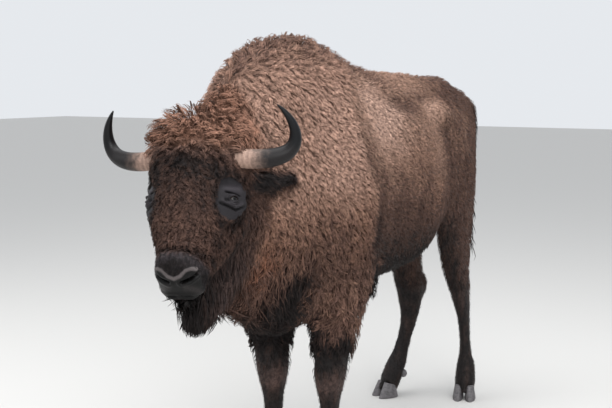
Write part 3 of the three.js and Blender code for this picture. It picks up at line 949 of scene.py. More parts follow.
@dataclass(frozen=True)
class Eye:
    """One eyeball and the lids that the skin folds over it.

    front and high are the half length and half height of the bare patch round it, open_up
    and open_low how far the slit opens, and seat how far the plain form lies in front of
    the eyeball's centre. roll to bag are the folds of the lids, from the upper one down.
    """

    head: HeadFrame
    word: str
    sign: int
    radius: float = 0.019
    gaze_out: float = 0.85
    slit_down: float = 0.16
    half_slit: float = 0.0180
    open_up: float = 0.0092
    open_low: float = 0.0062
    lid: float = 0.0024
    seat: float = 0.0105
    front: float = 0.068
    high: float = 0.074
    reach: float = 0.115
    snap: float = 0.0010
    share: Span = (0.74, 1.16)
    brow: Ridge = Ridge(0.0060, 0.034, 0.013, (0.020, 0.055))
    crease: Ridge = Ridge(0.0080, 0.0180, 0.0030, (0.018, 0.036))
    roll: Ridge = Ridge(0.0028, 0.0118, 0.0032, (0.014, 0.026))
    groove: Ridge = Ridge(0.0080, 0.0, 0.0038, (0.040, 0.054))
    bag: Ridge = Ridge(0.0050, -0.011, 0.007, (0.028, 0.048))

    @property
    def centre(self) -> Array:
        """The eyeball's centre, from its CAD node."""
        return centre_of(f"eye_{self.word}")

    @property
    def axes(self) -> Array:
        """Finds the eye's own axes from the head's.

        Returns:
            Along the slit to its front corner, up to the brow, and the way of the gaze.
        """
        left, down, out = self.head.axes
        gaze = unit(left * self.sign + out * self.gaze_out)
        along = out + down * self.slit_down
        along = unit(along - gaze * (along @ gaze))
        up = np.cross(gaze, along) * -self.sign
        return np.array([along, up if up @ down < 0.0 else -up, gaze])

    def local(self, points: Array) -> Array:
        """The points along the slit, up, and out of the eye, from its centre."""
        return (points - self.centre) @ self.axes.T

    def patch(self, points: Array) -> Array:
        """Measures how far out each place is in the egg-shaped bare patch.

        Args:
            points: The places.

        Returns:
            0 at the patch's middle, 1 at its edge, and more past it.
        """
        along, up, _ = self.local(points).T
        wide = self.front * (1.0 - 0.30 * smoothstep(-up, 0.015, 0.07))
        reach = np.abs((along - 0.004) / wide) ** 2.4 + np.abs((up - 0.002) / self.high) ** 2.4
        return reach ** (1.0 / 2.4) + 0.05 * ripple(points, 0.035, 4)

    def opening(self, along: Array, up: Array) -> Array:
        """Measures how far outside the slit each place lies.

        Args:
            along: The places' distances along the slit.
            up: Their distances above it.

        Returns:
            The metres, below 0 inside the slit.
        """
        room = np.clip(1.0 - (along / self.half_slit) ** 2, 0.0, None)
        height = np.where(up > 0.0, self.open_up, self.open_low) * room
        past = np.clip(np.abs(along) - self.half_slit, 0.0, None)
        return np.where(past > 0.0, np.hypot(past, up), np.abs(up) - height)

    def relief(self, along: Array, up: Array) -> Array:
        """Adds up the folds round the lids.

        Args:
            along: The places' distances along the slit.
            up: Their distances above it.

        Returns:
            How far the folds stand over the plain form, in metres.
        """
        aside = np.abs(along)
        tilted = up - 0.22 * along
        under = smoothstep(-up, 0.006, 0.012) * fall(-up, 0.026, 0.034)
        under = under * fall(aside, 0.020, 0.038)
        lines = 0.0015 * under * np.sin((up + 0.25 * along + 6.0 * along**2) * 1050.0)
        lower = -up - 0.034 + 0.38 * np.abs(along + 0.008)
        corner = 0.0060 * hill(np.hypot(along - self.half_slit - 0.007, up + 0.005), 0.0, 0.007)
        raised = self.roll.over(tilted, aside) + self.brow.over(up, aside) + lines
        sunk = self.crease.over(tilted, aside) + self.groove.over(lower, aside) + corner
        return raised + self.bag.over(lower, aside) - sunk

    def form(self, along: Array, up: Array) -> Array:
        """Rounds the lids over the eyeball.

        Args:
            along: The places' distances along the slit.
            up: Their distances above it.

        Returns:
            The lids' height over the plane through the eyeball's centre.
        """
        base = self.seat - (along**2 + up**2) / 0.26
        shell = self.radius + self.lid + 0.0014 * hill(self.opening(along, up), 0.002, 0.002)
        ball = np.sqrt(np.clip(shell**2 - along**2 - up**2, 0.0, None))
        blend = 0.0032
        return np.logaddexp(base / blend, ball / blend) * blend + self.relief(along, up)

    def fold(self, points: Array) -> Array:
        """Lays the skin over the ball, with a crisp slit and a few creases.

        Args:
            points: The skin's vertices.

        Returns:
            The vertices, with those near the eye moved.
        """
        local = self.local(points)
        near = (norm(points - self.centre, axis=1) < self.reach) & (local[:, 2] > -0.07)
        along, up, deep = local.T
        gap, step = self.opening(along, up), 1e-4
        slope = np.stack([self.opening(along + step, up) - gap, self.opening(along, up + step) - gap], 1)
        snap = (np.abs(gap) < self.snap) & near
        shift = -slope / np.maximum((slope**2).sum(1, keepdims=True), 1e-12) * gap[:, None] * step
        along = along + np.where(snap, shift[:, 0], 0.0)
        up = up + np.where(snap, shift[:, 1], 0.0)
        share = fall(self.patch(points), *self.share) * near
        height = mix(deep, self.form(along, up), share)
        height = np.where(near & (gap < -self.snap), np.minimum(height, 0.008), height)
        out = np.stack([along, up, height], 1)
        return np.where(near[:, None], self.centre + out @ self.axes, points)


def eyes_of(head: HeadFrame) -> list[Eye]:
    """The left and the right eye."""
    return [Eye(head, word, sign) for word, sign in SIDES.items()]


@dataclass(frozen=True)
class Muzzle:
    """The nostrils, lips and creases that the skin has at the end of the nose."""

    head: HeadFrame
    nostril: tuple[Place, ...] = (
        (0.023, 0.462, -0.012),
        (0.036, 0.456, -0.012),
        (0.049, 0.449, -0.014),
        (0.062, 0.436, -0.015),
        (0.073, 0.426, -0.018),
    )
    nostril_half: float = 0.0048
    nostril_deep: float = 0.018
    rim: tuple[Place, ...] = (
        (0.0, 0.4525, 0.000),
        (0.020, 0.445, 0.004),
        (0.039, 0.428, 0.011),
        (0.055, 0.421, 0.007),
        (0.068, 0.419, -0.003),
    )
    mouth: tuple[Place, ...] = (
        (0.0, 0.497, -0.058),
        (0.032, 0.492, -0.064),
        (0.058, 0.470, -0.080),
        (0.071, 0.432, -0.100),
        (0.078, 0.385, -0.118),
    )
    mouth_half: float = 0.005
    mouth_deep: float = 0.007
    pad_sides: tuple[float, ...] = (0.0, 0.020, 0.039, 0.055, 0.072, 0.090)
    pad_tops: tuple[float, ...] = (0.4515, 0.444, 0.428, 0.420, 0.421, 0.47)
    crease_down: float = 0.364
    fold_down: float = 0.345

    def near(self, local: Array, route: tuple[Place, ...]) -> Array:
        """The distance from a route that both sides of the face share.

        Args:
            local: Places in the head's frame.
            route: The left side's points.

        Returns:
            One distance a row.
        """
        folded = local.copy()
        folded[:, 0] = np.abs(folded[:, 0])
        best = np.full(len(local), 1.0)
        for a, b in zip(np.array(route[:-1]), np.array(route[1:])):
            span = b - a
            t = np.clip((folded - a) @ span / (span @ span), 0.0, 1.0)
            best = np.minimum(best, norm(folded - a - t[:, None] * span, axis=1))
        return best

    def rim_share(self, local: Array) -> Array:
        """How far each place, in the head's frame, is on the pale rim over the nostrils."""
        return fall(self.near(local, self.rim), 0.001, 0.0125)

    def pad(self, local: Array) -> Array:
        """Measures how far each place is on the bare nose pad.

        Args:
            local: The places, in the head's frame.

        Returns:
            The shares, from 0 to 1.
        """
        side, down, out = np.abs(local[:, 0]), local[:, 1], local[:, 2]
        top = np.interp(side, self.pad_sides, self.pad_tops)
        low = np.interp(side, (0.0, 0.06, 0.08), (-0.066, -0.080, -0.092))
        near = fall(side, 0.072, 0.082) * smoothstep(out, low - 0.006, low + 0.004)
        return smoothstep(down, top - 0.004, top + 0.002) * near

    def shape(self, points: Array, normals: Array) -> Array:
        """Presses the nostrils, mouth and creases into the skin.

        Args:
            points: The skin's vertices.
            normals: Their normals.

        Returns:
            The vertices, with those of the muzzle moved.
        """
        local = self.head.local(points)
        _, down, out = local.T
        hole = self.near(local, self.nostril)
        lips = self.near(local, self.mouth)
        half, lip = self.nostril_half, self.mouth_half
        press = self.nostril_deep * fall(hole, 0.25 * half, 1.5 * half)
        rim = 0.0030 * hill(hole, 0.0125, 0.005) + 0.0030 * self.rim_share(local)
        groove = self.mouth_deep * fall(lips, 0.2 * lip, 1.4 * lip)
        roll = 0.0035 * hill(lips, 0.011, 0.006)
        level, ahead = down + 0.1 * out, smoothstep(out, -0.05, 0.01)
        crease = 0.008 * hill(level, self.crease_down, 0.007) * ahead
        fold = 0.007 * hill(level, self.fold_down, 0.010) * ahead
        move = rim + roll + fold - press - groove - crease
        return points + normals * move[:, None]


# --- the skin


@dataclass
class Skin:
    """One closed skin over the whole animal, drawn in from the outline by the coat's depth.

    swell is how far the nodes are grown so that their joints close, plug the radius of the
    balls that fill the horns' sockets, and depth_share the most of the animal's thickness
    that the coat may take.
    """

    head: HeadFrame
    marks: Markings
    voxel: float = 0.013
    swell: float = 0.0012
    plug: float = 0.036
    smoothing: int = 18
    depth_share: float = 0.36
    inset_steps: int = 6
    piece: Piece = field(init=False)
    coat: CoatMap = field(init=False)
    outline: Array = field(init=False)
    nodes: Array = field(init=False)

    def build(self, finish: "HideFinish") -> Piece:
        """Makes the skin, its plan of the coat, and its finish.

        Args:
            finish: The skin's material.

        Returns:
            The skin's object.
        """
        mesh = self.joined()
        self.even_out(mesh)
        self.refine_face(mesh)
        self.outline = points_of(mesh)
        normals = normals_of(mesh)
        self.nodes = self.nearest_nodes(self.outline)
        members = np.array([MEMBER_OF[FLESH[i]].value for i in self.nodes])
        rough = self.marks.plan(self.outline, normals, members)
        bare, dense = rough.bare.copy(), rough.dense.copy()
        edges = edges_of(mesh)
        self.coat = rough.evened(edges, 10)
        face = members == Member.SKULL.value
        self.coat.bare[face] = bare[face]
        self.coat.dense[face] = dense[face]
        self.draw_in(mesh, edges)
        self.fold_face(mesh)
        self.store(mesh)
        mesh.materials.append(finish.material())
        mesh.shade_smooth()
        self.piece = link("skin", mesh, "coat")
        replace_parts(self.piece, *FLESH)
        return self.piece

    def joined(self) -> Mesh:
        """Joins all the nodes of flesh and meshes them anew, evenly.

        Returns:
            One closed mesh.
        """
        whole = bmesh.new()
        for name in FLESH:
            bm = merged_copy(bpy.data.objects[name])
            bm.normal_update()
            for vert in bm.verts:
                vert.co += vert.normal * self.swell
            part = mesh_from(bm, name + "_part")
            whole.from_mesh(part)
            bpy.data.meshes.remove(part)
        for sign in SIDES.values():
            plug = Matrix.Translation(self.head.place(np.array(HORN_ROOT) * (sign, 1.0, 1.0)))
            bmesh.ops.create_icosphere(whole, subdivisions=3, radius=self.plug, matrix=plug)
        rough = put_in_scene("skin_rough", mesh_from(whole, "skin_rough"))
        remesh = rough.modifiers.new("even", "REMESH")
        remesh.mode = "VOXEL"
        remesh.voxel_size = self.voxel
        made = baked_down(rough)
        made.name = "skin"
        self.keep_largest(made)
        return made

    def keep_largest(self, mesh: Mesh) -> None:
        """Deletes every island of a mesh but the one with the most vertices.

        Args:
            mesh: The mesh to change.
        """
        edges = edges_of(mesh)
        island = np.arange(len(mesh.vertices))
        while True:
            before = island.copy()
            low = np.minimum(island[edges[:, 0]], island[edges[:, 1]])
            np.minimum.at(island, edges[:, 0], low)
            np.minimum.at(island, edges[:, 1], low)
            island = island[island]
            if np.array_equal(before, island):
                break
        names, counts = np.unique(island, return_counts=True)
        doomed = set(np.flatnonzero(island != names[counts.argmax()]).tolist())
        if doomed:
            bm = bmesh.new()
            bm.from_mesh(mesh)
            bmesh.ops.delete(bm, geom=[v for v in bm.verts if v.index in doomed], context="VERTS")
            bm.to_mesh(mesh)
            bm.free()

    def even_out(self, mesh: Mesh) -> None:
        """Smooths the facets away without letting thin members shrink.

        Args:
            mesh: The mesh to change.
        """
        start, edges = points_of(mesh), edges_of(mesh)
        fine = ~np.isin(self.nearest_nodes(start), [FLESH.index("trunk"), FLESH.index("neck")])
        share = spread(edges, np.where(fine, 0.12, 0.5), 0.5, 6)
        put_points(mesh, spread(edges, start, share, self.smoothing))
        smooth, normals = points_of(mesh), normals_of(mesh)
        lost = spread(edges, ((start - smooth) * normals).sum(1), 0.5, 2 * self.smoothing)
        put_points(mesh, smooth + normals * lost[:, None])

    def refine_face(self, mesh: Mesh) -> None:
        """Divides the head's faces, and again at the muzzle and the eyes.

        Args:
            mesh: The mesh to change.
        """
        bm = bmesh.new()
        bm.from_mesh(mesh)
        for test in (self.on_head, self.on_muzzle_or_eye, self.on_eye):
            inside = test(np.array([v.co for v in bm.verts]))
            bm.verts.index_update()
            chosen = [e for e in bm.edges if inside[e.verts[0].index] and inside[e.verts[1].index]]
            bmesh.ops.subdivide_edges(bm, edges=chosen, cuts=1, use_grid_fill=True)
            again = test(np.array([v.co for v in bm.verts]))
            bm.verts.index_update()
            for _ in range(2):
                verts = [v for v in bm.verts if again[v.index]]
                bmesh.ops.smooth_vert(
                    bm, verts=verts, factor=0.5, use_axis_x=True, use_axis_y=True, use_axis_z=True
                )
        bm.to_mesh(mesh)
        bm.free()

    def on_head(self, points: Array) -> Array:
        """Which places are on the face or the crown."""
        side, down, out = self.head.local(points).T
        return (np.abs(side) < 0.19) & (down > -0.16) & (down < 0.52) & (out > -0.20) & (out < 0.12)

    def on_muzzle_or_eye(self, points: Array) -> Array:
        """Finds the places on the muzzle or round an eye.

        Args:
            points: The places.

        Returns:
            A mask of them.
        """
        side, down, out = self.head.local(points).T
        muzzle = (np.abs(side) < 0.12) & (down > 0.35) & (down < 0.53) & (out > -0.15)
        return muzzle | self.by_eye(points, 0.075)

    def on_eye(self, points: Array) -> Array:
        """Which places are close round an eye."""
        return self.by_eye(points, 0.042)

    def by_eye(self, points: Array, reach: float) -> Array:
        """Which places lie within reach of either eye's centre."""
        spans = [norm(points - centre_of(f"eye_{side}"), axis=1) for side in SIDES]
        return np.minimum(*spans) < reach

    def nearest_nodes(self, points: Array) -> Array:
        """Finds the node of flesh that each place lies on.

        Args:
            points: The places.

        Returns:
            The nodes' indices in FLESH.
        """
        verts, faces, owners = [], [], []
        for index, name in enumerate(FLESH):
            mesh = bpy.data.objects[name].data
            base = len(verts)
            verts.extend(map(Vector, points_of(mesh)))
            triangles = triangles_of(mesh) + base
            faces.extend(triangles.tolist())
            owners.extend([index] * len(triangles))
        tree = BVHTree.FromPolygons(verts, faces, all_triangles=True)
        hits = [tree.find_nearest(Vector(p))[2] for p in points]
        return np.array(owners)[hits]

    def draw_in(self, mesh: Mesh, edges: Array) -> None:
        """Moves the skin in by the coat's depth, less where the animal is thin.

        Args:
            mesh: The skin's mesh, lying on the outline.
            edges: Its edges.
        """
        points, normals = points_of(mesh), normals_of(mesh)
        tree = BVHTree.FromPolygons(list(map(Vector, points)), triangles_of(mesh).tolist())
        thick = np.full(len(points), 1.0)
        for i, (p, n) in enumerate(zip(points, normals)):
            way = Vector(-n)
            hit = tree.ray_cast(Vector(p) + way * 1e-4, way, 1.0)
            if hit[3] is not None:
                thick[i] = hit[3]
        limit = spread(edges, np.minimum(thick, 0.4), 0.5, 6) * self.depth_share
        depth = np.minimum(self.coat.depth, limit)
        self.coat.depth = depth
        for _ in range(self.inset_steps):
            points = points - normals * (depth / self.inset_steps)[:, None]
            put_points(mesh, points)
            normals = unit(spread(edges, normals_of(mesh), 0.5, 2))
            easing = np.where(self.by_eye(points, 0.07), 0.05, 0.2)
            points = spread(edges, points, easing * smoothstep(depth, 0.002, 0.02), 1)
        put_points(mesh, points)

    def fold_face(self, mesh: Mesh) -> None:
        """Adds the lids, nostrils, mouth and creases.

        Args:
            mesh: The skin's mesh.
        """
        points, normals = points_of(mesh), normals_of(mesh)
        points = Muzzle(self.head).shape(points, normals)
        for eye in eyes_of(self.head):
            points = eye.fold(points)
        put_points(mesh, points)

    def store(self, mesh: Mesh) -> None:
        """Keeps the markings on the skin, for its finish, with painted light and shade following the folds
        of the bare lids.

        Args:
            mesh: The skin's mesh.
        """
        marks = np.stack([self.coat.dark, self.coat.warm, self.coat.pale], 1)
        local = self.head.local(self.outline)
        muzzle = Muzzle(self.head)
        wet = muzzle.pad(local)
        speckled = 0.34 * hill(local[:, 1], 0.474, 0.014)
        speckled = speckled * smoothstep(np.abs(local[:, 0]), 0.0, 0.03) * wet
        rim = np.maximum(muzzle.rim_share(local), speckled)
        for eye in eyes_of(self.head):
            along, up, _ = eye.local(points_of(mesh)).T
            near = norm(points_of(mesh) - eye.centre, axis=1) < 0.1
            # painted light and shade on the bare lids: the pale mark rises on the raised folds and falls in
            # the creases
            folds = np.clip(0.32 + eye.relief(along, up) / 0.009, 0.0, 1.0)
            marks[:, 2] = np.where(near & (self.coat.bare > 0.4), folds, marks[:, 2])
        set_attribute(mesh, "marks", marks)
        set_attribute(mesh, "hide", np.stack([self.coat.bare, wet, rim], 1))


# --- shader maths


class Socket:
    """A shader socket that can be added, multiplied and compared like a number."""

    def __init__(self, shader: "Shader", out: bpy.types.NodeSocket) -> None:
        """Wraps an output socket of one of the shader's nodes."""
        self.shader = shader
        self.out = out

    def op(self, kind: str, *others: "Socket | float") -> "Socket":
        """A Math node of this kind, with this socket first."""
        values = dict(enumerate((self, *others)))
        return self.shader.node("ShaderNodeMath", {"operation": kind}, values)

    def __add__(self, other: "Socket | float") -> "Socket":
        """The sum."""
        return self.op("ADD", other)

    __radd__ = __add__

    def __sub__(self, other: "Socket | float") -> "Socket":
        """The difference."""
        return self.op("SUBTRACT", other)

    def __rsub__(self, other: float) -> "Socket":
        """The difference, from a number."""
        return self.shader.node("ShaderNodeMath", {"operation": "SUBTRACT"}, {0: other, 1: self})

    def __mul__(self, other: "Socket | float") -> "Socket":
        """The product."""
        return self.op("MULTIPLY", other)

    __rmul__ = __mul__

    def between(self, low: float, high: float) -> "Socket":
        """A smooth rise from 0 at low to 1 at high."""
        values = {"Value": self, "From Min": low, "From Max": high}
        return self.shader.node("ShaderNodeMapRange", {"interpolation_type": "SMOOTHSTEP"}, values)


class Shader:
    """Builds one material's nodes."""

    def __init__(self, name: str) -> None:
        """Starts a material with a Principled shader.

        Args:
            name: The material's name.
        """
        self.material = bpy.data.materials.new(name)
        self.material.use_nodes = True
        self.tree = self.material.node_tree
        self.tree.nodes.clear()
        self.bsdf = self.tree.nodes.new("ShaderNodeBsdfPrincipled")
        output = self.tree.nodes.new("ShaderNodeOutputMaterial")
        self.tree.links.new(self.bsdf.outputs["BSDF"], output.inputs["Surface"])

    def node(self, kind: str, settings: dict, values: dict, out: str | int = 0) -> Socket:
        """Adds a node.

        Args:
            kind: Its type.
            settings: Its own properties.
            values: What goes into its sockets: numbers, tuples or sockets.
            out: Which of its outputs to give.

        Returns:
            That output.
        """
        made = self.tree.nodes.new(kind)
        for key, value in settings.items():
            setattr(made, key, value)
        for key, value in values.items():
            if isinstance(value, Socket):
                self.tree.links.new(value.out, made.inputs[key])
            else:
                made.inputs[key].default_value = value
        return Socket(self, made.outputs[out])

    def attribute(self, name: str, out: str = "Fac") -> Socket:
        """Reads a stored attribute."""
        return self.node("ShaderNodeAttribute", {"attribute_name": name}, {}, out)

    def parts(self, vector: Socket) -> tuple[Socket, Socket, Socket]:
        """Splits a vector.

        Args:
            vector: The vector.

        Returns:
            Its three numbers.
        """
        split = self.node("ShaderNodeSeparateXYZ", {}, {0: vector}, 0)
        outs = split.out.node.outputs
        return Socket(self, outs[0]), Socket(self, outs[1]), Socket(self, outs[2])

    def objects(self) -> Socket:
        """The Object coordinates."""
        return self.node("ShaderNodeTexCoord", {}, {}, "Object")

    def noise(self, where: Socket, scale: float, detail: float = 3.0, rough: float = 0.55) -> Socket:
        """A noise from 0 to 1, with this many patches to a metre."""
        values = {"Vector": where, "Scale": scale, "Detail": detail, "Roughness": rough}
        return self.node("ShaderNodeTexNoise", {}, values, "Fac")

    def stretched(self, where: Socket, scale: Place) -> Socket:
        """The coordinates times a number for each axis."""
        return self.node("ShaderNodeVectorMath", {"operation": "MULTIPLY"}, {0: where, 1: scale})

    def colour(self, a: "Socket | tuple", b: "Socket | tuple", share: "Socket | float") -> Socket:
        """The colour a where share is 0, b where it is 1, and between them elsewhere."""
        settings = {"data_type": "RGBA", "clamp_factor": True}
        return self.node("ShaderNodeMix", settings, {0: share, 6: self.rgba(a), 7: self.rgba(b)}, 2)

    def rgba(self, colour: "Socket | tuple") -> "Socket | tuple":
        """A colour with its fourth number, unless it is a socket."""
        return colour if isinstance(colour, Socket) else (*colour, 1.0)[:4]

    def times(self, colour: Socket, amount: Socket) -> Socket:
        """A colour made brighter or darker."""
        settings = {"operation": "SCALE"}
        return self.node("ShaderNodeVectorMath", settings, {0: colour, "Scale": amount}, 0)

    def bump(self, height: Socket, strength: float, distance: float) -> None:
        """Raises the surface by a height, of which 1 stands for the distance in metres."""
        values = {"Height": height, "Strength": strength, "Distance": distance}
        self.feed("Normal", self.node("ShaderNodeBump", {}, values, "Normal"))

    def feed(self, name: str, value: "Socket | float | tuple") -> None:
        """Gives the Principled shader one of its inputs.

        Args:
            name: The input's name.
            value: A number, a colour or a socket.
        """
        if isinstance(value, Socket):
            self.tree.links.new(value.out, self.bsdf.inputs[name])
        else:
            self.bsdf.inputs[name].default_value = value


# --- finishes


@dataclass(frozen=True)
class CoatColours:
    """The coat's colours, which the skin shares."""

    tan: Colour = (0.335, 0.202, 0.142)
    brown: Colour = (0.098, 0.054, 0.041)
    black: Colour = (0.0110, 0.0085, 0.0083)
    rufous: Colour = (0.240, 0.098, 0.056)
    cream: Colour = (0.520, 0.345, 0.270)
    ash: Colour = (0.062, 0.052, 0.056)

    def mixed(self, shader: Shader, dark: Socket, warm: Socket, pale: Socket) -> Socket:
        """The coat's colour for three marks.

        Args:
            shader: The material's builder.
            dark: 0 tan, 0.5 brown, 1 black.
            warm: 1 rufous, 0 plain, -1 ash grey.
            pale: How far it is bleached.

        Returns:
            The colour.
        """
        light = shader.colour(self.tan, self.cream, pale)
        light = shader.colour(light, self.rufous, warm)
        mid = shader.colour(light, self.brown, dark.between(0.0, 0.55))
        mid = shader.colour(mid, self.ash, warm * -1.0)
        return shader.colour(mid, self.black, dark.between(0.45, 1.0))

    def sway(self, shader: Shader, where: Socket) -> Socket:
        """How much darker or lighter the coat's mark is, patch by patch."""
        ripples = shader.noise(shader.stretched(where, (34.0, 34.0, 7.0)), 1.0, 3.0)
        return (shader.noise(where, 20.0, 4.0) - 0.5) * 0.40 + (ripples - 0.5) * 0.46

    def mottle_and_curl_shading(self, shader: Shader, where: Socket) -> Socket:
        """Makes the coat brighter and darker, curl by curl and strand by strand: partly the hair's own
        uneven tone, partly painted light and shade of the curls.

        Args:
            shader: The material's builder.
            where: The coordinates.

        Returns:
            How bright it is.
        """
        curls = shader.noise(where, 75.0, 3.0, 0.6).between(0.30, 0.70)
        strands = shader.noise(where, 600.0, 2.0)
        return (0.56 + 0.90 * curls) * (0.8 + 0.4 * strands)


@dataclass(frozen=True)
class HideFinish:
    """The skin: dark hair roots, partly painted shade in the gaps between the locks, with bare hide on the
    lids and the muzzle.
    """

    colours: CoatColours = CoatColours()
    lids: Colour = (0.0150, 0.0130, 0.0150)
    wet: Colour = (0.0040, 0.0032, 0.0030)
    rim: Colour = (0.104, 0.088, 0.087)
    roughness: float = 0.58

    def material(self) -> Material:
        """Builds the material.

        Returns:
            The material.
        """
        shader = Shader("hide")
        where = shader.objects()
        dark, warm, pale = shader.parts(shader.attribute("marks", "Vector"))
        coat = self.colours.mixed(shader, dark + self.colours.sway(shader, where), warm, pale)
        # under the locks the skin is the coat's colour darkened, as painted shade in the gaps between the
        # locks
        coat = shader.times(coat, self.colours.mottle_and_curl_shading(shader, where) * 0.84)
        bare, wet, rim = shader.parts(shader.attribute("hide", "Vector"))
        speck = shader.noise(where, 420.0, 3.0, 0.7)
        # on the bare lids the pale mark is painted light on the raised folds and painted shade in the
        # creases
        shade = (0.55 + 0.9 * speck) * (0.4 + 1.9 * pale)
        hide = shader.times(shader.colour(self.lids, self.wet, wet), shade)
        hide = shader.colour(hide, self.rim, (rim * (0.15 + 1.7 * speck)).between(0.12, 1.0))
        shader.feed("Base Color", shader.colour(coat, hide, bare.between(0.3, 0.7)))
        shader.feed("Roughness", self.roughness - 0.14 * wet + 0.15 * (speck - 0.5))
        shader.feed("Specular IOR Level", 0.20)
        shader.bump(shader.noise(where, 260.0, 5.0, 0.65), 0.5, 0.0025)
        return shader.material


@dataclass(frozen=True)
class CoatFinish:
    """Hair: each lock a little different, and darker at its root with painted shade, where the locks shade
    each other.
    """

    colours: CoatColours = CoatColours()
    roughness: float = 0.72
    painted_root_shade: float = 0.60
    lock_spread: float = 0.40
    clump_spread: float = 0.50

    def material(self) -> Material:
        """Builds the material.

        Returns:
            The material.
        """
        shader = Shader("coat")
        where = shader.objects()
        dark, warm, pale = shader.parts(shader.attribute("marks", "Vector"))
        chance, along, clump = shader.parts(shader.attribute("lock", "Vector"))
        sway = self.colours.sway(shader, where) + (chance - 0.5) * 0.16 + (clump - 0.5) * 0.22
        colour = self.colours.mixed(shader, dark + sway, warm, pale)
        # painted shade: each lock is darker towards its root, deep in the coat where the locks shade each
        # other
        shade = self.painted_root_shade + (1.0 - self.painted_root_shade) * along.between(0.0, 0.65)
        shade = shade * (1.0 + self.lock_spread * (chance - 0.5)) * (1.0 + self.clump_spread * (clump - 0.5))
        shader.feed("Base Color", shader.times(colour, shade * self.colours.mottle_and_curl_shading(shader, where)))
        shader.feed("Roughness", self.roughness)
        shader.feed("Specular IOR Level", 0.14)
        return shader.material


@dataclass(frozen=True)
class HornFinish:
    """Horn: pale and ringed at the root, slate and smooth at the tip."""

    root: Colour = (0.350, 0.232, 0.182)
    middle: Colour = (0.072, 0.051, 0.043)
    slate: Colour = (0.0120, 0.0102, 0.0105)
    tip: Colour = (0.0062, 0.0064, 0.0074)

    def material(self) -> Material:
        """Builds the material.

        Returns:
            The material.
        """
        shader = Shader("horn")
        where = shader.objects()
        along = shader.attribute("along")
        patch = shader.noise(where, 42.0, 4.0, 0.65)
        sway = along + (patch - 0.5) * 0.26
        colour = shader.colour(self.root, self.middle, sway.between(0.19, 0.38))
        colour = shader.colour(colour, self.slate, sway.between(0.34, 0.48))
        colour = shader.colour(colour, self.tip, sway.between(0.62, 0.85))
        streak = shader.noise(where, 240.0, 3.0, 0.6)
        ring = (along * 120.0 + patch * 6.0).op("SINE") * (1.0 - along.between(0.12, 0.50))
        shader.feed("Base Color", shader.times(colour, (0.55 + 0.9 * streak) * (1.0 + 0.14 * ring)))
        shader.feed("Roughness", 0.56 - 0.24 * along.between(0.2, 0.9))
        shader.feed("Specular IOR Level", 0.22)
        shader.bump(0.5 + 0.35 * ring + 0.4 * streak, 0.6, 0.0016)
        return shader.material


@dataclass(frozen=True)
class HoofFinish:
    """Hoof horn: blue-grey with growth rings."""

    light: Colour = (0.135, 0.125, 0.130)
    dark: Colour = (0.035, 0.032, 0.034)

    def material(self) -> Material:
        """Builds the material.

        Returns:
            The material.
        """
        shader = Shader("hoof")
        where = shader.objects()
        _, _, height = shader.parts(where)
        patch = shader.noise(where, 45.0, 4.0)
        rings = ((height * 900.0 + patch * 6.0).op("SINE") + 1.0) * 0.5
        shade = shader.colour(self.dark, self.light, (patch + rings * 0.25).between(0.3, 0.8))
        shader.feed("Base Color", shade)
        shader.feed("Roughness", 0.55 + 0.2 * (patch - 0.5))
        shader.bump(rings * 0.4 + shader.noise(where, 500.0, 3.0) * 0.5, 0.4, 0.0010)
        return shader.material


@dataclass(frozen=True)
class EyeFinish:
    """A wet dark eye: a brown iris round a black pupil, under a clear coat."""

    iris: Colour = (0.0120, 0.0062, 0.0038)
    pupil: Colour = (0.0015, 0.0015, 0.0015)
    white: Colour = (0.0140, 0.0095, 0.0085)

    def material(self) -> Material:
        """Builds the material.

        Returns:
            The material.
        """
        shader = Shader("eye")
        off = shader.attribute("off_axis")
        fleck = shader.noise(shader.objects(), 900.0, 3.0)
        colour = shader.colour(self.pupil, self.iris, (off + (fleck - 0.5) * 0.04).between(0.30, 0.38))
        colour = shader.colour(colour, self.white, off.between(0.68, 0.78))
        shader.feed("Base Color", colour)
        shader.feed("Roughness", 0.20)
        shader.feed("Specular IOR Level", 0.16)
        shader.feed("Coat Weight", 0.16)
        shader.feed("Coat Roughness", 0.05)
        return shader.material


# --- the coat


@dataclass(frozen=True)
class LockStyle:
    """How the locks of one stretch of coat are cut and gathered.

    rings is how many three-cornered rings a lock has below its tip; knot is the size of
    the clumps; layers is how many locks lie over each other; pull is how far the tips of
    a clump come together; kink is how far a curl swings at most, and turns how often;
    cling is how closely locks follow the skin; proud is how far their tips may pass the
    coat's outline.
    """

    rings: int
    knot: float
    layers: float
    pull: float = 0.55
    kink: float = 0.010
    cling: float = 1.0
    turns: float = 1.2
    proud: float = 0.003


WOOL = LockStyle(rings=2, knot=0.0115, layers=3.6, pull=0.55, kink=0.0045, turns=0.8)
CREST = LockStyle(rings=3, knot=0.021, layers=4.4, pull=0.62, kink=0.010, turns=1.0)
CHEST = LockStyle(rings=3, knot=0.014, layers=3.6, pull=0.60, kink=0.0065, turns=1.0)
SHORT = LockStyle(rings=2, knot=0.016, layers=2.4, pull=0.45, kink=0.004)
FACE = LockStyle(rings=3, knot=0.0095, layers=5.0, pull=0.60, kink=0.0045, turns=1.0)
CROWN = LockStyle(rings=4, knot=0.018, layers=5.0, pull=0.62, kink=0.009, proud=0.020)
STRAND = LockStyle(rings=4, knot=0.012, layers=4.2, pull=0.65, kink=0.005, cling=0.15, proud=0.018)
LEG = LockStyle(rings=3, knot=0.016, layers=3.4, pull=0.60, kink=0.009)
SHANK = LockStyle(rings=2, knot=0.010, layers=1.6, pull=0.4, kink=0.002)


@dataclass(frozen=True)
class Stretch:
    """One piece of the coat: its style, its slot, and the most triangles it may have.

    around says what its part of the skin is unrolled round for the OFBake map.
    """

    name: str
    slot: str
    style: LockStyle
    around: str
    most: int


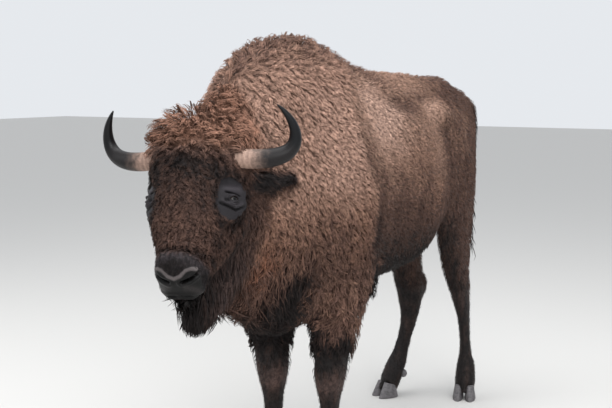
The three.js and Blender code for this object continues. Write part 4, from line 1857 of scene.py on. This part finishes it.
STRETCHES = (
    *(Stretch(f"coat_hump_{side}", "coat", WOOL, "back", 130_000) for side in SIDES),
    Stretch("coat_crest", "coat", CREST, "back", 60_000),
    *(Stretch(f"coat_chest_{side}", "coat", CHEST, "back", 115_000) for side in SIDES),
    *(Stretch(f"coat_flank_{side}", "coat", SHORT, "back", 108_000) for side in SIDES),
    *(Stretch(f"coat_rump_{side}", "coat", SHORT, "back", 68_000) for side in SIDES),
    *(Stretch(f"coat_face_{side}", "coat", FACE, "head", 110_000) for side in SIDES),
    Stretch("coat_crown", "coat", CROWN, "head", 100_000),
    Stretch("coat_beard", "dark_coat", STRAND, "beard", 40_000),
    Stretch("coat_forelegs", "dark_coat", LEG, "foreleg_left", 80_000),
    Stretch("coat_shanks", "dark_coat", SHANK, "foreleg_left", 45_000),
    Stretch("coat_hindlegs", "dark_coat", SHORT, "hindleg_left", 60_000),
    Stretch("coat_tail", "dark_coat", STRAND, "tail", 28_000),
)


@dataclass
class Roots:
    """Places on the skin where locks or clumps begin."""

    place: Array
    normal: Array
    outer: Array
    coat: CoatMap

    def __len__(self) -> int:
        """How many there are."""
        return len(self.place)


@dataclass
class Coat:
    """All the locks, grown from the skin and gathered into clumps.

    sink is how deep a lock's root is in the skin, and softness how far its normals are
    those of the skin. The lines and heights part the stretches from each other. The
    spans multiply a lock's length, width, pull towards its clump and share of its run.
    """

    skin: Skin
    finish: CoatFinish
    seed: int = 11
    sink: float = 0.003
    softness: float = 0.65
    haunch_line: float = 0.42
    hump_height: float = 1.18
    neck_line: float = -0.75
    crest_half: float = 0.13
    crest_height: float = 1.50
    crest_line: float = -0.95
    crown_line: float = 0.085
    shank_height: float = 0.57
    lengths: Span = (0.80, 1.15)
    widths: Span = (0.65, 1.35)
    pulls: Span = (0.4, 1.25)
    reaches: Span = (0.72, 1.12)
    fan: float = 0.055
    jitter: float = 0.0028
    patch: float = 0.003

    def __post_init__(self) -> None:
        """Reads the skin's shape once for every stretch."""
        mesh = self.skin.piece.data
        self.points, self.normals = points_of(mesh), normals_of(mesh)
        self.triangles = triangles_of(mesh)
        self.tree = BVHTree.FromPolygons(list(map(Vector, self.points)), self.triangles.tolist())
        self.shell = BVHTree.FromPolygons(list(map(Vector, self.skin.outline)), self.triangles.tolist())
        corners = self.skin.outline[self.triangles]
        crossed = np.cross(corners[:, 1] - corners[:, 0], corners[:, 2] - corners[:, 0])
        self.areas = norm(crossed, axis=1) / 2.0
        self.middles = corners.mean(1)
        self.owners = self.owner_of_triangles()
        self.material = self.finish.material()

    def owner_of_triangles(self) -> Array:
        """Shares the skin's triangles out among the stretches.

        Returns:
            The index in STRETCHES of each triangle's stretch.
        """
        names = {stretch.name.removeprefix("coat_"): i for i, stretch in enumerate(STRETCHES)}
        nodes = self.skin.nodes[self.triangles[:, 0]]
        kind = np.array([MEMBER_OF[FLESH[i]].value for i in range(len(FLESH))])[nodes]
        x, y, z = self.middles.T
        marks = self.skin.marks
        mane = y < np.interp(z, marks.mane_heights, marks.mane_edges)
        right = (x < np.interp(y, (-1.2, -0.6, 0.2), (0.03, 0.0, 0.0))).astype(int)
        owner = np.where(y < self.haunch_line, names["flank_left"], names["rump_left"]) + right
        upper = (z > self.hump_height) & (y > self.neck_line)
        woolly = np.where(upper, names["hump_left"], names["chest_left"]) + right
        crest = (np.abs(x) < self.crest_half) & (z > self.crest_height) & (y > self.crest_line)
        woolly = np.where(crest, names["crest"], woolly)
        owner = np.where(mane, woolly, owner)
        side, down, _ = self.skin.head.local(self.middles).T
        face = np.where(side > 0.0, names["face_left"], names["face_right"])
        high = z > self.shank_height
        shares = {
            Member.SKULL: np.where(down < self.crown_line, names["crown"], face),
            Member.EAR: names["crown"],
            Member.BEARD: names["beard"],
            Member.FORELEG: np.where(high, names["forelegs"], names["shanks"]),
            Member.HINDLEG: np.where(high, names["hindlegs"], names["shanks"]),
            Member.TAIL: names["tail"],
            Member.SHEATH: names["tail"],
        }
        for member, share in shares.items():
            owner = np.where(kind == member.value, share, owner)
        return owner

    def build(self) -> list[Piece]:
        """Grows every stretch of the coat.

        Returns:
            Its pieces.
        """
        pieces = []
        for index, stretch in enumerate(STRETCHES):
            rng = np.random.default_rng(self.seed + index)
            mine = np.flatnonzero(self.owners == index)
            clumps = self.scatter(rng, mine, stretch.style.knot**-2.0 * np.ones(len(mine)))
            rate = self.rate(mine, stretch)
            locks = self.scatter(rng, mine, rate)
            lines, chance = self.gathered(rng, stretch.style, clumps, locks)
            mesh = self.mesh_of(rng, stretch, locks, self.trimmed(lines), chance)
            mesh.materials.append(self.material)
            piece = link(stretch.name, mesh, stretch.slot)
            LOG.info("%s: %d locks, %d triangles", stretch.name, len(locks), len(mesh.polygons))
            pieces.append(piece)
        return pieces

    def rate(self, mine: Array, stretch: Stretch) -> Array:
        """Works out how thickly the locks stand.

        Args:
            mine: The triangles of the stretch.
            stretch: The stretch.

        Returns:
            How many locks a square metre each of the triangles has.
        """
        coat = self.skin.coat
        corners = self.triangles[mine]
        size = (coat.width * coat.length)[corners].mean(1) * 0.72
        rate = stretch.style.layers / size * coat.dense[corners].mean(1)
        faces = 6 * stretch.style.rings - 2
        wanted = (rate * self.areas[mine]).sum() * faces
        return rate * min(1.0, 0.995 * stretch.most / max(wanted, 1.0))

    def trimmed(self, lines: Array) -> Array:
        """Shortens the locks that would hang over a lid patch or the nose pad.

        Args:
            lines: The locks' lines.

        Returns:
            The lines.
        """
        scale = np.ones((len(lines), 1))
        for shorter in (0.7, 0.45, 0.25, 0.08):
            tips = lines[:, 0] + (lines[:, -1] - lines[:, 0]) * scale
            mids = lines[:, 0] + (lines[:, 1] - lines[:, 0]) * scale
            scale[self.skin.marks.kept_bare(tips) | self.skin.marks.kept_bare(mids)] = shorter
        return lines[:, :1] + (lines - lines[:, :1]) * scale[:, None, :]

    def scatter(self, rng: Chance, mine: Array, rate: Array) -> Roots:
        """Drops points on triangles, evenly for each one's share.

        Args:
            rng: The source of chance.
            mine: The triangles.
            rate: How many points a square metre each has.

        Returns:
            The points.
        """
        want = rate * self.areas[mine]
        ends = np.floor(np.cumsum(want) + rng.uniform()).astype(int)
        count = np.diff(ends, prepend=0)
        chosen = np.repeat(self.triangles[mine], count, axis=0)
        a, b = rng.uniform(size=(2, len(chosen)))
        flip = a + b > 1.0
        a, b = np.where(flip, 1.0 - a, a), np.where(flip, 1.0 - b, b)
        weights = np.stack([1.0 - a - b, a, b], 1)
        shares = weights[:, :, None]
        place = (self.points[chosen] * shares).sum(1)
        normal = unit((self.normals[chosen] * shares).sum(1))
        outer = (self.skin.outline[chosen] * shares).sum(1)
        return Roots(place, normal, outer, self.skin.coat.sampled(chosen, weights))

    def gathered(self, rng: Chance, style: LockStyle, clumps: Roots, locks: Roots) -> tuple[Array, Array]:
        """Gives each lock a line, drawn towards that of its clump.

        Args:
            rng: The source of chance.
            style: How the stretch is cut.
            clumps: Where the clumps begin.
            locks: Where the locks begin.

        Returns:
            The locks' lines, as places on each ring and the tip, and two numbers from
            0 to 1 for each lock: its own and its clump's.
        """
        guides = self.lines(rng, style, clumps)
        tree = kdtree.KDTree(len(clumps))
        for i, spot in enumerate(clumps.place + clumps.normal * 0.03):
            tree.insert(spot, i)
        tree.balance()
        spots = locks.place + locks.normal * 0.03
        home = np.array([tree.find(spot)[1] for spot in spots])
        t = np.linspace(0.0, 1.0, style.rings + 1)[None, :, None]
        way = guides[home] - guides[home][:, :1]
        gap = (clumps.place[home] - locks.place)[:, None, :]
        pull = (style.pull * rng.uniform(*self.pulls, len(locks)))[:, None, None]
        reach = rng.uniform(*self.reaches, len(locks))[:, None, None]
        lines = locks.place[:, None, :] + way * reach + gap * pull * t**1.3
        side = unit(np.cross(way[:, -1], locks.normal))
        sway = rng.normal(size=(len(locks), style.rings + 1, 1)) * locks.coat.curl[:, None, None]
        lines = lines + side[:, None, :] * sway * self.jitter * t
        fan = rng.normal(0.0, self.fan, len(locks))[:, None, None]
        lines = lines + side[:, None, :] * fan * locks.coat.length[:, None, None] * t
        lines[:, 0] -= locks.normal * self.sink
        chance = np.stack([rng.uniform(size=len(locks)), rng.uniform(size=len(clumps))[home]], 1)
        return lines, chance

    def lines(self, rng: Chance, style: LockStyle, roots: Roots) -> Array:
        """Draws a line over the skin from each root, kinked where the coat curls.

        Args:
            rng: The source of chance.
            style: How the stretch is cut.
            roots: Where the lines begin.

        Returns:
            The places along each line.
        """
        count, coat = len(roots), roots.coat
        span = norm(roots.outer - roots.place, axis=1)
        turn = rng.normal(0.0, 1.0, count) * (0.10 + 0.55 * coat.curl)
        turn += 0.30 * ripple(roots.place, 0.16, 5) + 0.2 * ripple(roots.place, 0.05, 6)
        way = self.tangent(coat.lie, roots.normal)
        side = np.cross(roots.normal, way)
        way = way * np.cos(turn)[:, None] + side * np.sin(turn)[:, None]
        length = coat.length * rng.uniform(*self.lengths, count)
        rise = span * coat.fill * np.clip(rng.normal(0.92, 0.16, count), 0.4, 1.12)
        phase, speed = rng.uniform(0.0, 6.28, count), rng.uniform(0.7, 1.3, count)
        spots, base, normal = [roots.place], roots.place.copy(), roots.normal
        for i in range(1, style.rings + 1):
            t = i / style.rings
            flat = np.sqrt(np.clip(1.0 - (rise / length) ** 2, 0.2, 1.0)) * length
            base = base + way * (flat / style.rings)[:, None]
            landed, fresh = self.landed(base)
            over = ((base - landed) * fresh).sum(1)
            normal = unit(mix(normal, fresh, style.cling))
            cling = np.where(over > 0.0, style.cling, min(1.0, 2.5 * style.cling))[:, None]
            base = mix(base, landed, cling)
            way = self.tangent(way + np.array([0.0, 0.0, -0.12 * (1.0 - style.cling)]), normal, style.cling)
            swing = style.kink * coat.curl * (0.35 + 0.65 * t)
            angle = phase + 2.0 * math.pi * style.turns * speed * t
            side = unit(np.cross(normal, way))
            height = rise * (1.0 - (1.0 - t) ** (1.2 + 1.2 * coat.lift))
            bend = side * (swing * np.sin(angle))[:, None] + normal * (swing * 0.45 * np.cos(angle))[:, None]
            spots.append(base + normal * height[:, None] + bend)
        line = np.stack(spots, 1)
        return self.kept_inside(line, style)

    def tangent(self, way: Array, normal: Array, cling: float = 1.0) -> Array:
        """The way, laid along the skin."""
        lift = (way * normal).sum(1, keepdims=True)
        return unit(way - normal * lift * cling)

    def landed(self, places: Array) -> tuple[Array, Array]:
        """Finds the skin's nearest places.

        Args:
            places: Places over or under it.

        Returns:
            The nearest places on it, and its normals there.
        """
        spots = np.empty_like(places)
        faces = np.empty(len(places), int)
        for i, place in enumerate(places):
            hit = self.tree.find_nearest(place)
            spots[i], faces[i] = hit[0], hit[2]
        return spots, unit(self.normals[self.triangles[faces]].mean(1))

    def kept_inside(self, line: Array, style: LockStyle) -> Array:
        """Keeps the lines from passing the coat's outline by more than the style lets them.

        Args:
            line: The places along each line.
            style: How the stretch is cut: hanging strands are cut short, others pressed in.

        Returns:
            The lines.
        """
        tips = line[:, -1]
        past = np.zeros_like(tips)
        for i, tip in enumerate(tips):
            spot, normal, _, _ = self.shell.find_nearest(tip)
            over = (Vector(tip) - spot).dot(normal)
            if over > style.proud:
                past[i] = np.array(normal) * (over - style.proud)
        if style.cling < 0.5:
            reach = norm(tips - line[:, 0], axis=1)
            kept = np.clip(1.0 - 0.8 * norm(past, axis=1) / reach, 0.4, 1.0)
            return line[:, :1] + (line - line[:, :1]) * kept[:, None, None]
        t = np.linspace(0.0, 1.0, line.shape[1])[None, :, None]
        return line - past[:, None, :] * t

    def mesh_of(self, rng: Chance, stretch: Stretch, locks: Roots, lines: Array, chance: Array) -> Mesh:
        """Makes closed three-cornered locks round their lines.

        Args:
            rng: The source of chance.
            stretch: The stretch they belong to.
            locks: Where they begin.
            lines: Their lines.
            chance: Their own and their clumps' random numbers.

        Returns:
            The mesh, with its attributes and its OFBake map.
        """
        count, rings = len(locks), stretch.style.rings
        t = np.linspace(0.0, 1.0, rings + 1)
        way = unit(np.gradient(lines, axis=1))
        side = unit(np.cross(locks.normal[:, None, :], way))
        up = np.cross(way, side)
        wide = locks.coat.width * rng.uniform(*self.widths, count)
        swell = (0.62 + 1.1 * t * (1.0 - t) * 1.6) * fall(t, 0.5, 1.25)
        half = 0.5 * wide[:, None] * swell[None, :]
        a = lines + side * half[:, :, None]
        b = lines + up * (half * 0.62)[:, :, None]
        c = lines - side * half[:, :, None]
        ringed = np.stack([a, b, c], 2)[:, :rings].reshape(count, rings * 3, 3)
        verts = np.concatenate([ringed, lines[:, -1:]], 1)
        faces = [(2, 1, 0)]
        for i in range(rings - 1):
            for k in range(3):
                j, low, high = (k + 1) % 3, 3 * i, 3 * i + 3
                faces += [(low + k, low + j, high + j), (low + k, high + j, high + k)]
        last = 3 * (rings - 1)
        faces += [(last + k, last + (k + 1) % 3, 3 * rings) for k in range(3)]
        per = 3 * rings + 1
        all_faces = np.array(faces)[None] + (np.arange(count) * per)[:, None, None]
        mesh = self.filled(stretch.name, verts.reshape(-1, 3), all_faces.reshape(-1, 3))
        along = np.append(np.repeat(t[:rings], 3), 1.0)
        lock = np.stack(np.broadcast_arrays(chance[:, :1], along[None], chance[:, 1:]), 2)
        set_attribute(mesh, "lock", lock.reshape(-1, 3))
        marks = np.stack([locks.coat.dark, locks.coat.warm, locks.coat.pale], 1)
        set_attribute(mesh, "marks", np.repeat(marks, per, axis=0))
        around = np.append(np.tile([-1.0, 0.0, 1.0], rings), 0.0)
        patch = np.stack([around * self.patch / 2.0, (along - 0.5) * self.patch], 1)
        spots = self.unwrapped(stretch, locks)[:, None, :] + patch[None]
        layer = mesh.uv_layers.new(name="OFBake")
        flat = spots.reshape(-1, 2)[all_faces.ravel()]
        layer.uv.foreach_set("vector", flat.astype(np.float32).ravel())
        mesh.shade_smooth()
        rooted = np.repeat(locks.normal, per, axis=0)
        mesh.normals_split_custom_set_from_vertices(unit(mix(normals_of(mesh), rooted, self.softness)))
        return mesh

    def filled(self, name: str, verts: Array, faces: Array) -> Mesh:
        """Makes a mesh of places and triangles.

        Args:
            name: The mesh's name.
            verts: The places.
            faces: Three indices for each triangle.

        Returns:
            The mesh.
        """
        mesh = bpy.data.meshes.new(name)
        mesh.vertices.add(len(verts))
        mesh.vertices.foreach_set("co", verts.astype(np.float32).ravel())
        mesh.loops.add(faces.size)
        mesh.loops.foreach_set("vertex_index", faces.astype(np.int32).ravel())
        mesh.polygons.add(len(faces))
        mesh.polygons.foreach_set("loop_start", np.arange(0, faces.size, 3, dtype=np.int32))
        mesh.update(calc_edges=True)
        return mesh

    def unwrapped(self, stretch: Stretch, locks: Roots) -> Array:
        """Each root's place on an unrolled form of its part of the skin.

        Args:
            stretch: The stretch, which says what the skin is rolled round.
            locks: The roots.

        Returns:
            Two numbers from 0 to 1 for each root.
        """
        p = locks.place
        if stretch.around == "back":
            angle = np.arctan2(np.abs(p[:, 0]) + 0.02, p[:, 2] - 1.15)
            flat = np.stack([p[:, 1], angle], 1)
        elif stretch.around == "head":
            side, down, out = self.skin.head.local(p).T
            flat = np.stack([np.arctan2(side, out + 0.16), down], 1)
        elif stretch.around == "beard":
            middle = centre_of("beard")
            flat = np.stack([np.arctan2(*(p - middle)[:, :2].T), p[:, 2]], 1)
        else:
            flat = self.unrolled_limbs(p, stretch.around.split("_")[0])
        low, high = flat.min(0), flat.max(0)
        return 0.004 + 0.992 * (flat - low) / (high - low)

    def unrolled_limbs(self, places: Array, kind: str) -> Array:
        """Unrolls limbs side by side, each round its own centre line.

        Args:
            places: The roots.
            kind: tail for the tail and the tuft, otherwise legs.

        Returns:
            The angle, shifted for each limb, and the height.
        """
        names = ("tail", "sheath_tuft") if kind == "tail" else LEGS
        axes = [Axis(name) for name in names]
        offs = np.stack([places[:, :2] - axis.at(places[:, 2]) for axis in axes])
        mine = norm(offs, axis=2).argmin(0)
        off = offs[mine, np.arange(len(places))]
        return np.stack([np.arctan2(off[:, 0], off[:, 1]) + 6.5 * mine, places[:, 2]], 1)


# --- horns, eyes, hooves


@dataclass(frozen=True)
class Horn:
    """A horn: its CAD form rounded off, with growth rings at the root.

    Its run is measured from root_side off the head's middle, sideways, and by rise of
    the height that it gains.
    """

    word: str
    finish: HornFinish = HornFinish()
    levels: int = 2
    merge: float = 0.7
    root_side: float = 0.115
    rise: float = 0.9

    def build(self, head: HeadFrame) -> Piece:
        """Makes the horn.

        Args:
            head: The head's frame, which tells the root from the tip.

        Returns:
            The piece.
        """
        node = f"horn_{self.word}"
        bm = merged_copy(bpy.data.objects[node])
        bmesh.ops.join_triangles(
            bm, faces=bm.faces, angle_face_threshold=self.merge, angle_shape_threshold=self.merge
        )
        rough = put_in_scene(node + "_form", mesh_from(bm, node + "_form"))
        soft = rough.modifiers.new("soft", "SUBSURF")
        soft.levels = soft.render_levels = self.levels
        made = baked_down(rough)
        made.name = node + "_horn"
        places = points_of(made)
        local = head.local(places)
        sweep = np.abs(local[:, 0]) - self.root_side + np.clip(-local[:, 1], 0.0, None) * self.rise
        along = np.clip(sweep / sweep.max(), 0.0, 1.0)
        set_attribute(made, "along", along)
        made.materials.append(self.finish.material())
        made.shade_smooth()
        piece = link(node + "_horn", made, "horn")
        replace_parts(piece, node)
        return piece


@dataclass(frozen=True)
class Eyeball:
    """An eyeball, marked with how far each place is off the way of its gaze."""

    eye: Eye
    finish: EyeFinish = EyeFinish()
    segments: int = 48

    def build(self) -> Piece:
        """Makes the eyeball.

        Returns:
            The piece.
        """
        node = f"eye_{self.eye.word}"
        bm = bmesh.new()
        bmesh.ops.create_uvsphere(
            bm, u_segments=self.segments, v_segments=self.segments // 2, radius=self.eye.radius
        )
        bmesh.ops.translate(bm, verts=bm.verts, vec=Vector(self.eye.centre))
        mesh = mesh_from(bm, node + "_ball")
        along, up, _ = self.eye.local(points_of(mesh)).T
        front = self.eye.local(points_of(mesh))[:, 2] > 0.0
        off = np.hypot(along * 0.8, up) / self.eye.radius
        set_attribute(mesh, "off_axis", np.where(front, off, 1.0))
        mesh.materials.append(self.finish.material())
        mesh.shade_smooth()
        piece = link(node + "_ball", mesh, "eye")
        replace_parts(piece, node)
        return piece


@dataclass(frozen=True)
class Hooves:
    """The eight claws and eight dew claws, rounded off at their edges.

    sunk is how far the dew claws are set forward, into the skin behind the feet.
    """

    finish: HoofFinish = HoofFinish()
    edge: float = 0.0035
    sharp: float = 0.6
    sunk: float = 0.009

    def build(self) -> list[Piece]:
        """Makes one piece of each claw.

        Returns:
            The pieces.
        """
        material = self.finish.material()
        pieces = []
        for foot in FEET:
            for kind in ("hoof", "dewclaw"):
                for toe in "ab":
                    pieces.append(self.claw(f"{kind}_{foot}_{toe}", material))
        return pieces

    def claw(self, node: str, material: Material) -> Piece:
        """Makes one claw from its CAD node.

        Args:
            node: The node's name.
            material: The hoof's finish.

        Returns:
            The piece.
        """
        bm = merged_copy(bpy.data.objects[node])
        if node.startswith("dewclaw"):
            bmesh.ops.translate(bm, verts=bm.verts, vec=Vector((0.0, -self.sunk, 0.0)))
        edges = [e for e in bm.edges if e.calc_face_angle(0.0) > self.sharp]
        bmesh.ops.bevel(
            bm,
            geom=edges,
            offset=self.edge,
            segments=3,
            profile=0.5,
            affect="EDGES",
            clamp_overlap=True,
            material=-1,
        )
        mesh = mesh_from(bm, node + "_claw")
        mesh.materials.append(material)
        mesh.shade_smooth()
        piece = link(node + "_claw", mesh, "hoof")
        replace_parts(piece, node)
        return piece


# --- the studio


@dataclass(frozen=True)
class Lamp:
    """A soft square light: its place, the length of its side and its watts."""

    name: str
    place: Place
    size: float
    power: float


@dataclass(frozen=True)
class Studio:
    """A pale floor, soft lights that face the animal's middle, and a camera at head height."""

    camera: Place = (2.0644, -3.8702, 1.619)
    gaze: Place = (-0.5038, 0.8555, -0.1194)
    lens: float = 61.35
    floor_size: float = 30.0
    floor_colour: Colour = (0.62, 0.61, 0.59)
    sky: float = 0.85
    sky_colour: Colour = (0.93, 0.96, 1.0)
    middle: Place = (0.0, -0.3, 1.0)
    lamps: tuple[Lamp, ...] = (
        Lamp("overhead", (0.5, -0.6, 5.2), 5.0, 230.0),
        Lamp("front", (3.6, -4.2, 3.6), 3.0, 150.0),
        Lamp("side", (-4.5, -2.0, 3.2), 3.0, 60.0),
    )

    def build(self) -> None:
        """Sets the floor, the lights and the camera."""
        self.floor()
        self.world()
        for lamp in self.lamps:
            self.hang(lamp)
        self.aim()

    def floor(self) -> None:
        """Lays the floor."""
        bm = bmesh.new()
        bmesh.ops.create_grid(bm, x_segments=1, y_segments=1, size=self.floor_size)
        mesh = mesh_from(bm, "floor")
        shader = Shader("floor")
        shader.feed("Base Color", (*self.floor_colour, 1.0))
        shader.feed("Roughness", 0.9)
        mesh.materials.append(shader.material)
        floor = put_in_scene("floor", mesh)
        floor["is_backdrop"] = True

    def world(self) -> None:
        """Gives an even pale sky."""
        world = bpy.data.worlds.new("sky")
        world.use_nodes = True
        back = world.node_tree.nodes["Background"]
        back.inputs["Color"].default_value = (*self.sky_colour, 1.0)
        back.inputs["Strength"].default_value = self.sky
        bpy.context.scene.world = world

    def hang(self, lamp: Lamp) -> None:
        """Hangs a light.

        Args:
            lamp: What it is like.
        """
        light = bpy.data.lights.new(lamp.name, "AREA")
        light.energy, light.size = lamp.power, lamp.size
        hung = put_in_scene(lamp.name, light)
        hung.location = lamp.place
        way = Vector(self.middle) - Vector(lamp.place)
        hung.rotation_euler = way.to_track_quat("-Z", "Y").to_euler()
        hung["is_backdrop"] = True

    def aim(self) -> None:
        """Sets the camera up and makes it the scene's."""
        data = bpy.data.cameras.new("camera")
        data.lens, data.sensor_width = self.lens, 36.0
        camera = put_in_scene("camera", data)
        camera.location = self.camera
        camera.rotation_euler = Vector(self.gaze).to_track_quat("-Z", "Y").to_euler()
        bpy.context.scene.camera = camera
        bpy.context.scene.view_settings.view_transform = "Standard"
        camera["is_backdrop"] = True


def write_sizes(before: tuple[Vector, Vector], after: tuple[Vector, Vector]) -> None:
    """Gathers the box of the solids and of the dressed animal as plain lists; nothing is written.

    Args:
        before: The box of the solids.
        after: The box once they are dressed.
    """
    boxes = {"solids": before, "dressed": after}
    plain = {name: [list(low), list(high)] for name, (low, high) in boxes.items()}


def main() -> None:
    """Builds the animal and the studio in order."""
    logging.basicConfig(level=logging.INFO, format="%(name)s: %(message)s")
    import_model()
    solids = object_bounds()
    head = HeadFrame()
    skin = Skin(head, Markings(head))
    LOG.info("skin: %d triangles", len(triangles_of(skin.build(HideFinish()).data)))
    Coat(skin, CoatFinish()).build()
    for eye in eyes_of(head):
        LOG.info("built %s", Eyeball(eye).build().name)
        LOG.info("built %s", Horn(eye.word).build(head).name)
    LOG.info("built %d claws", len(Hooves().build()))
    Studio().build()
    write_sizes(solids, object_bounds())


if __name__ == "__main__":
    main()
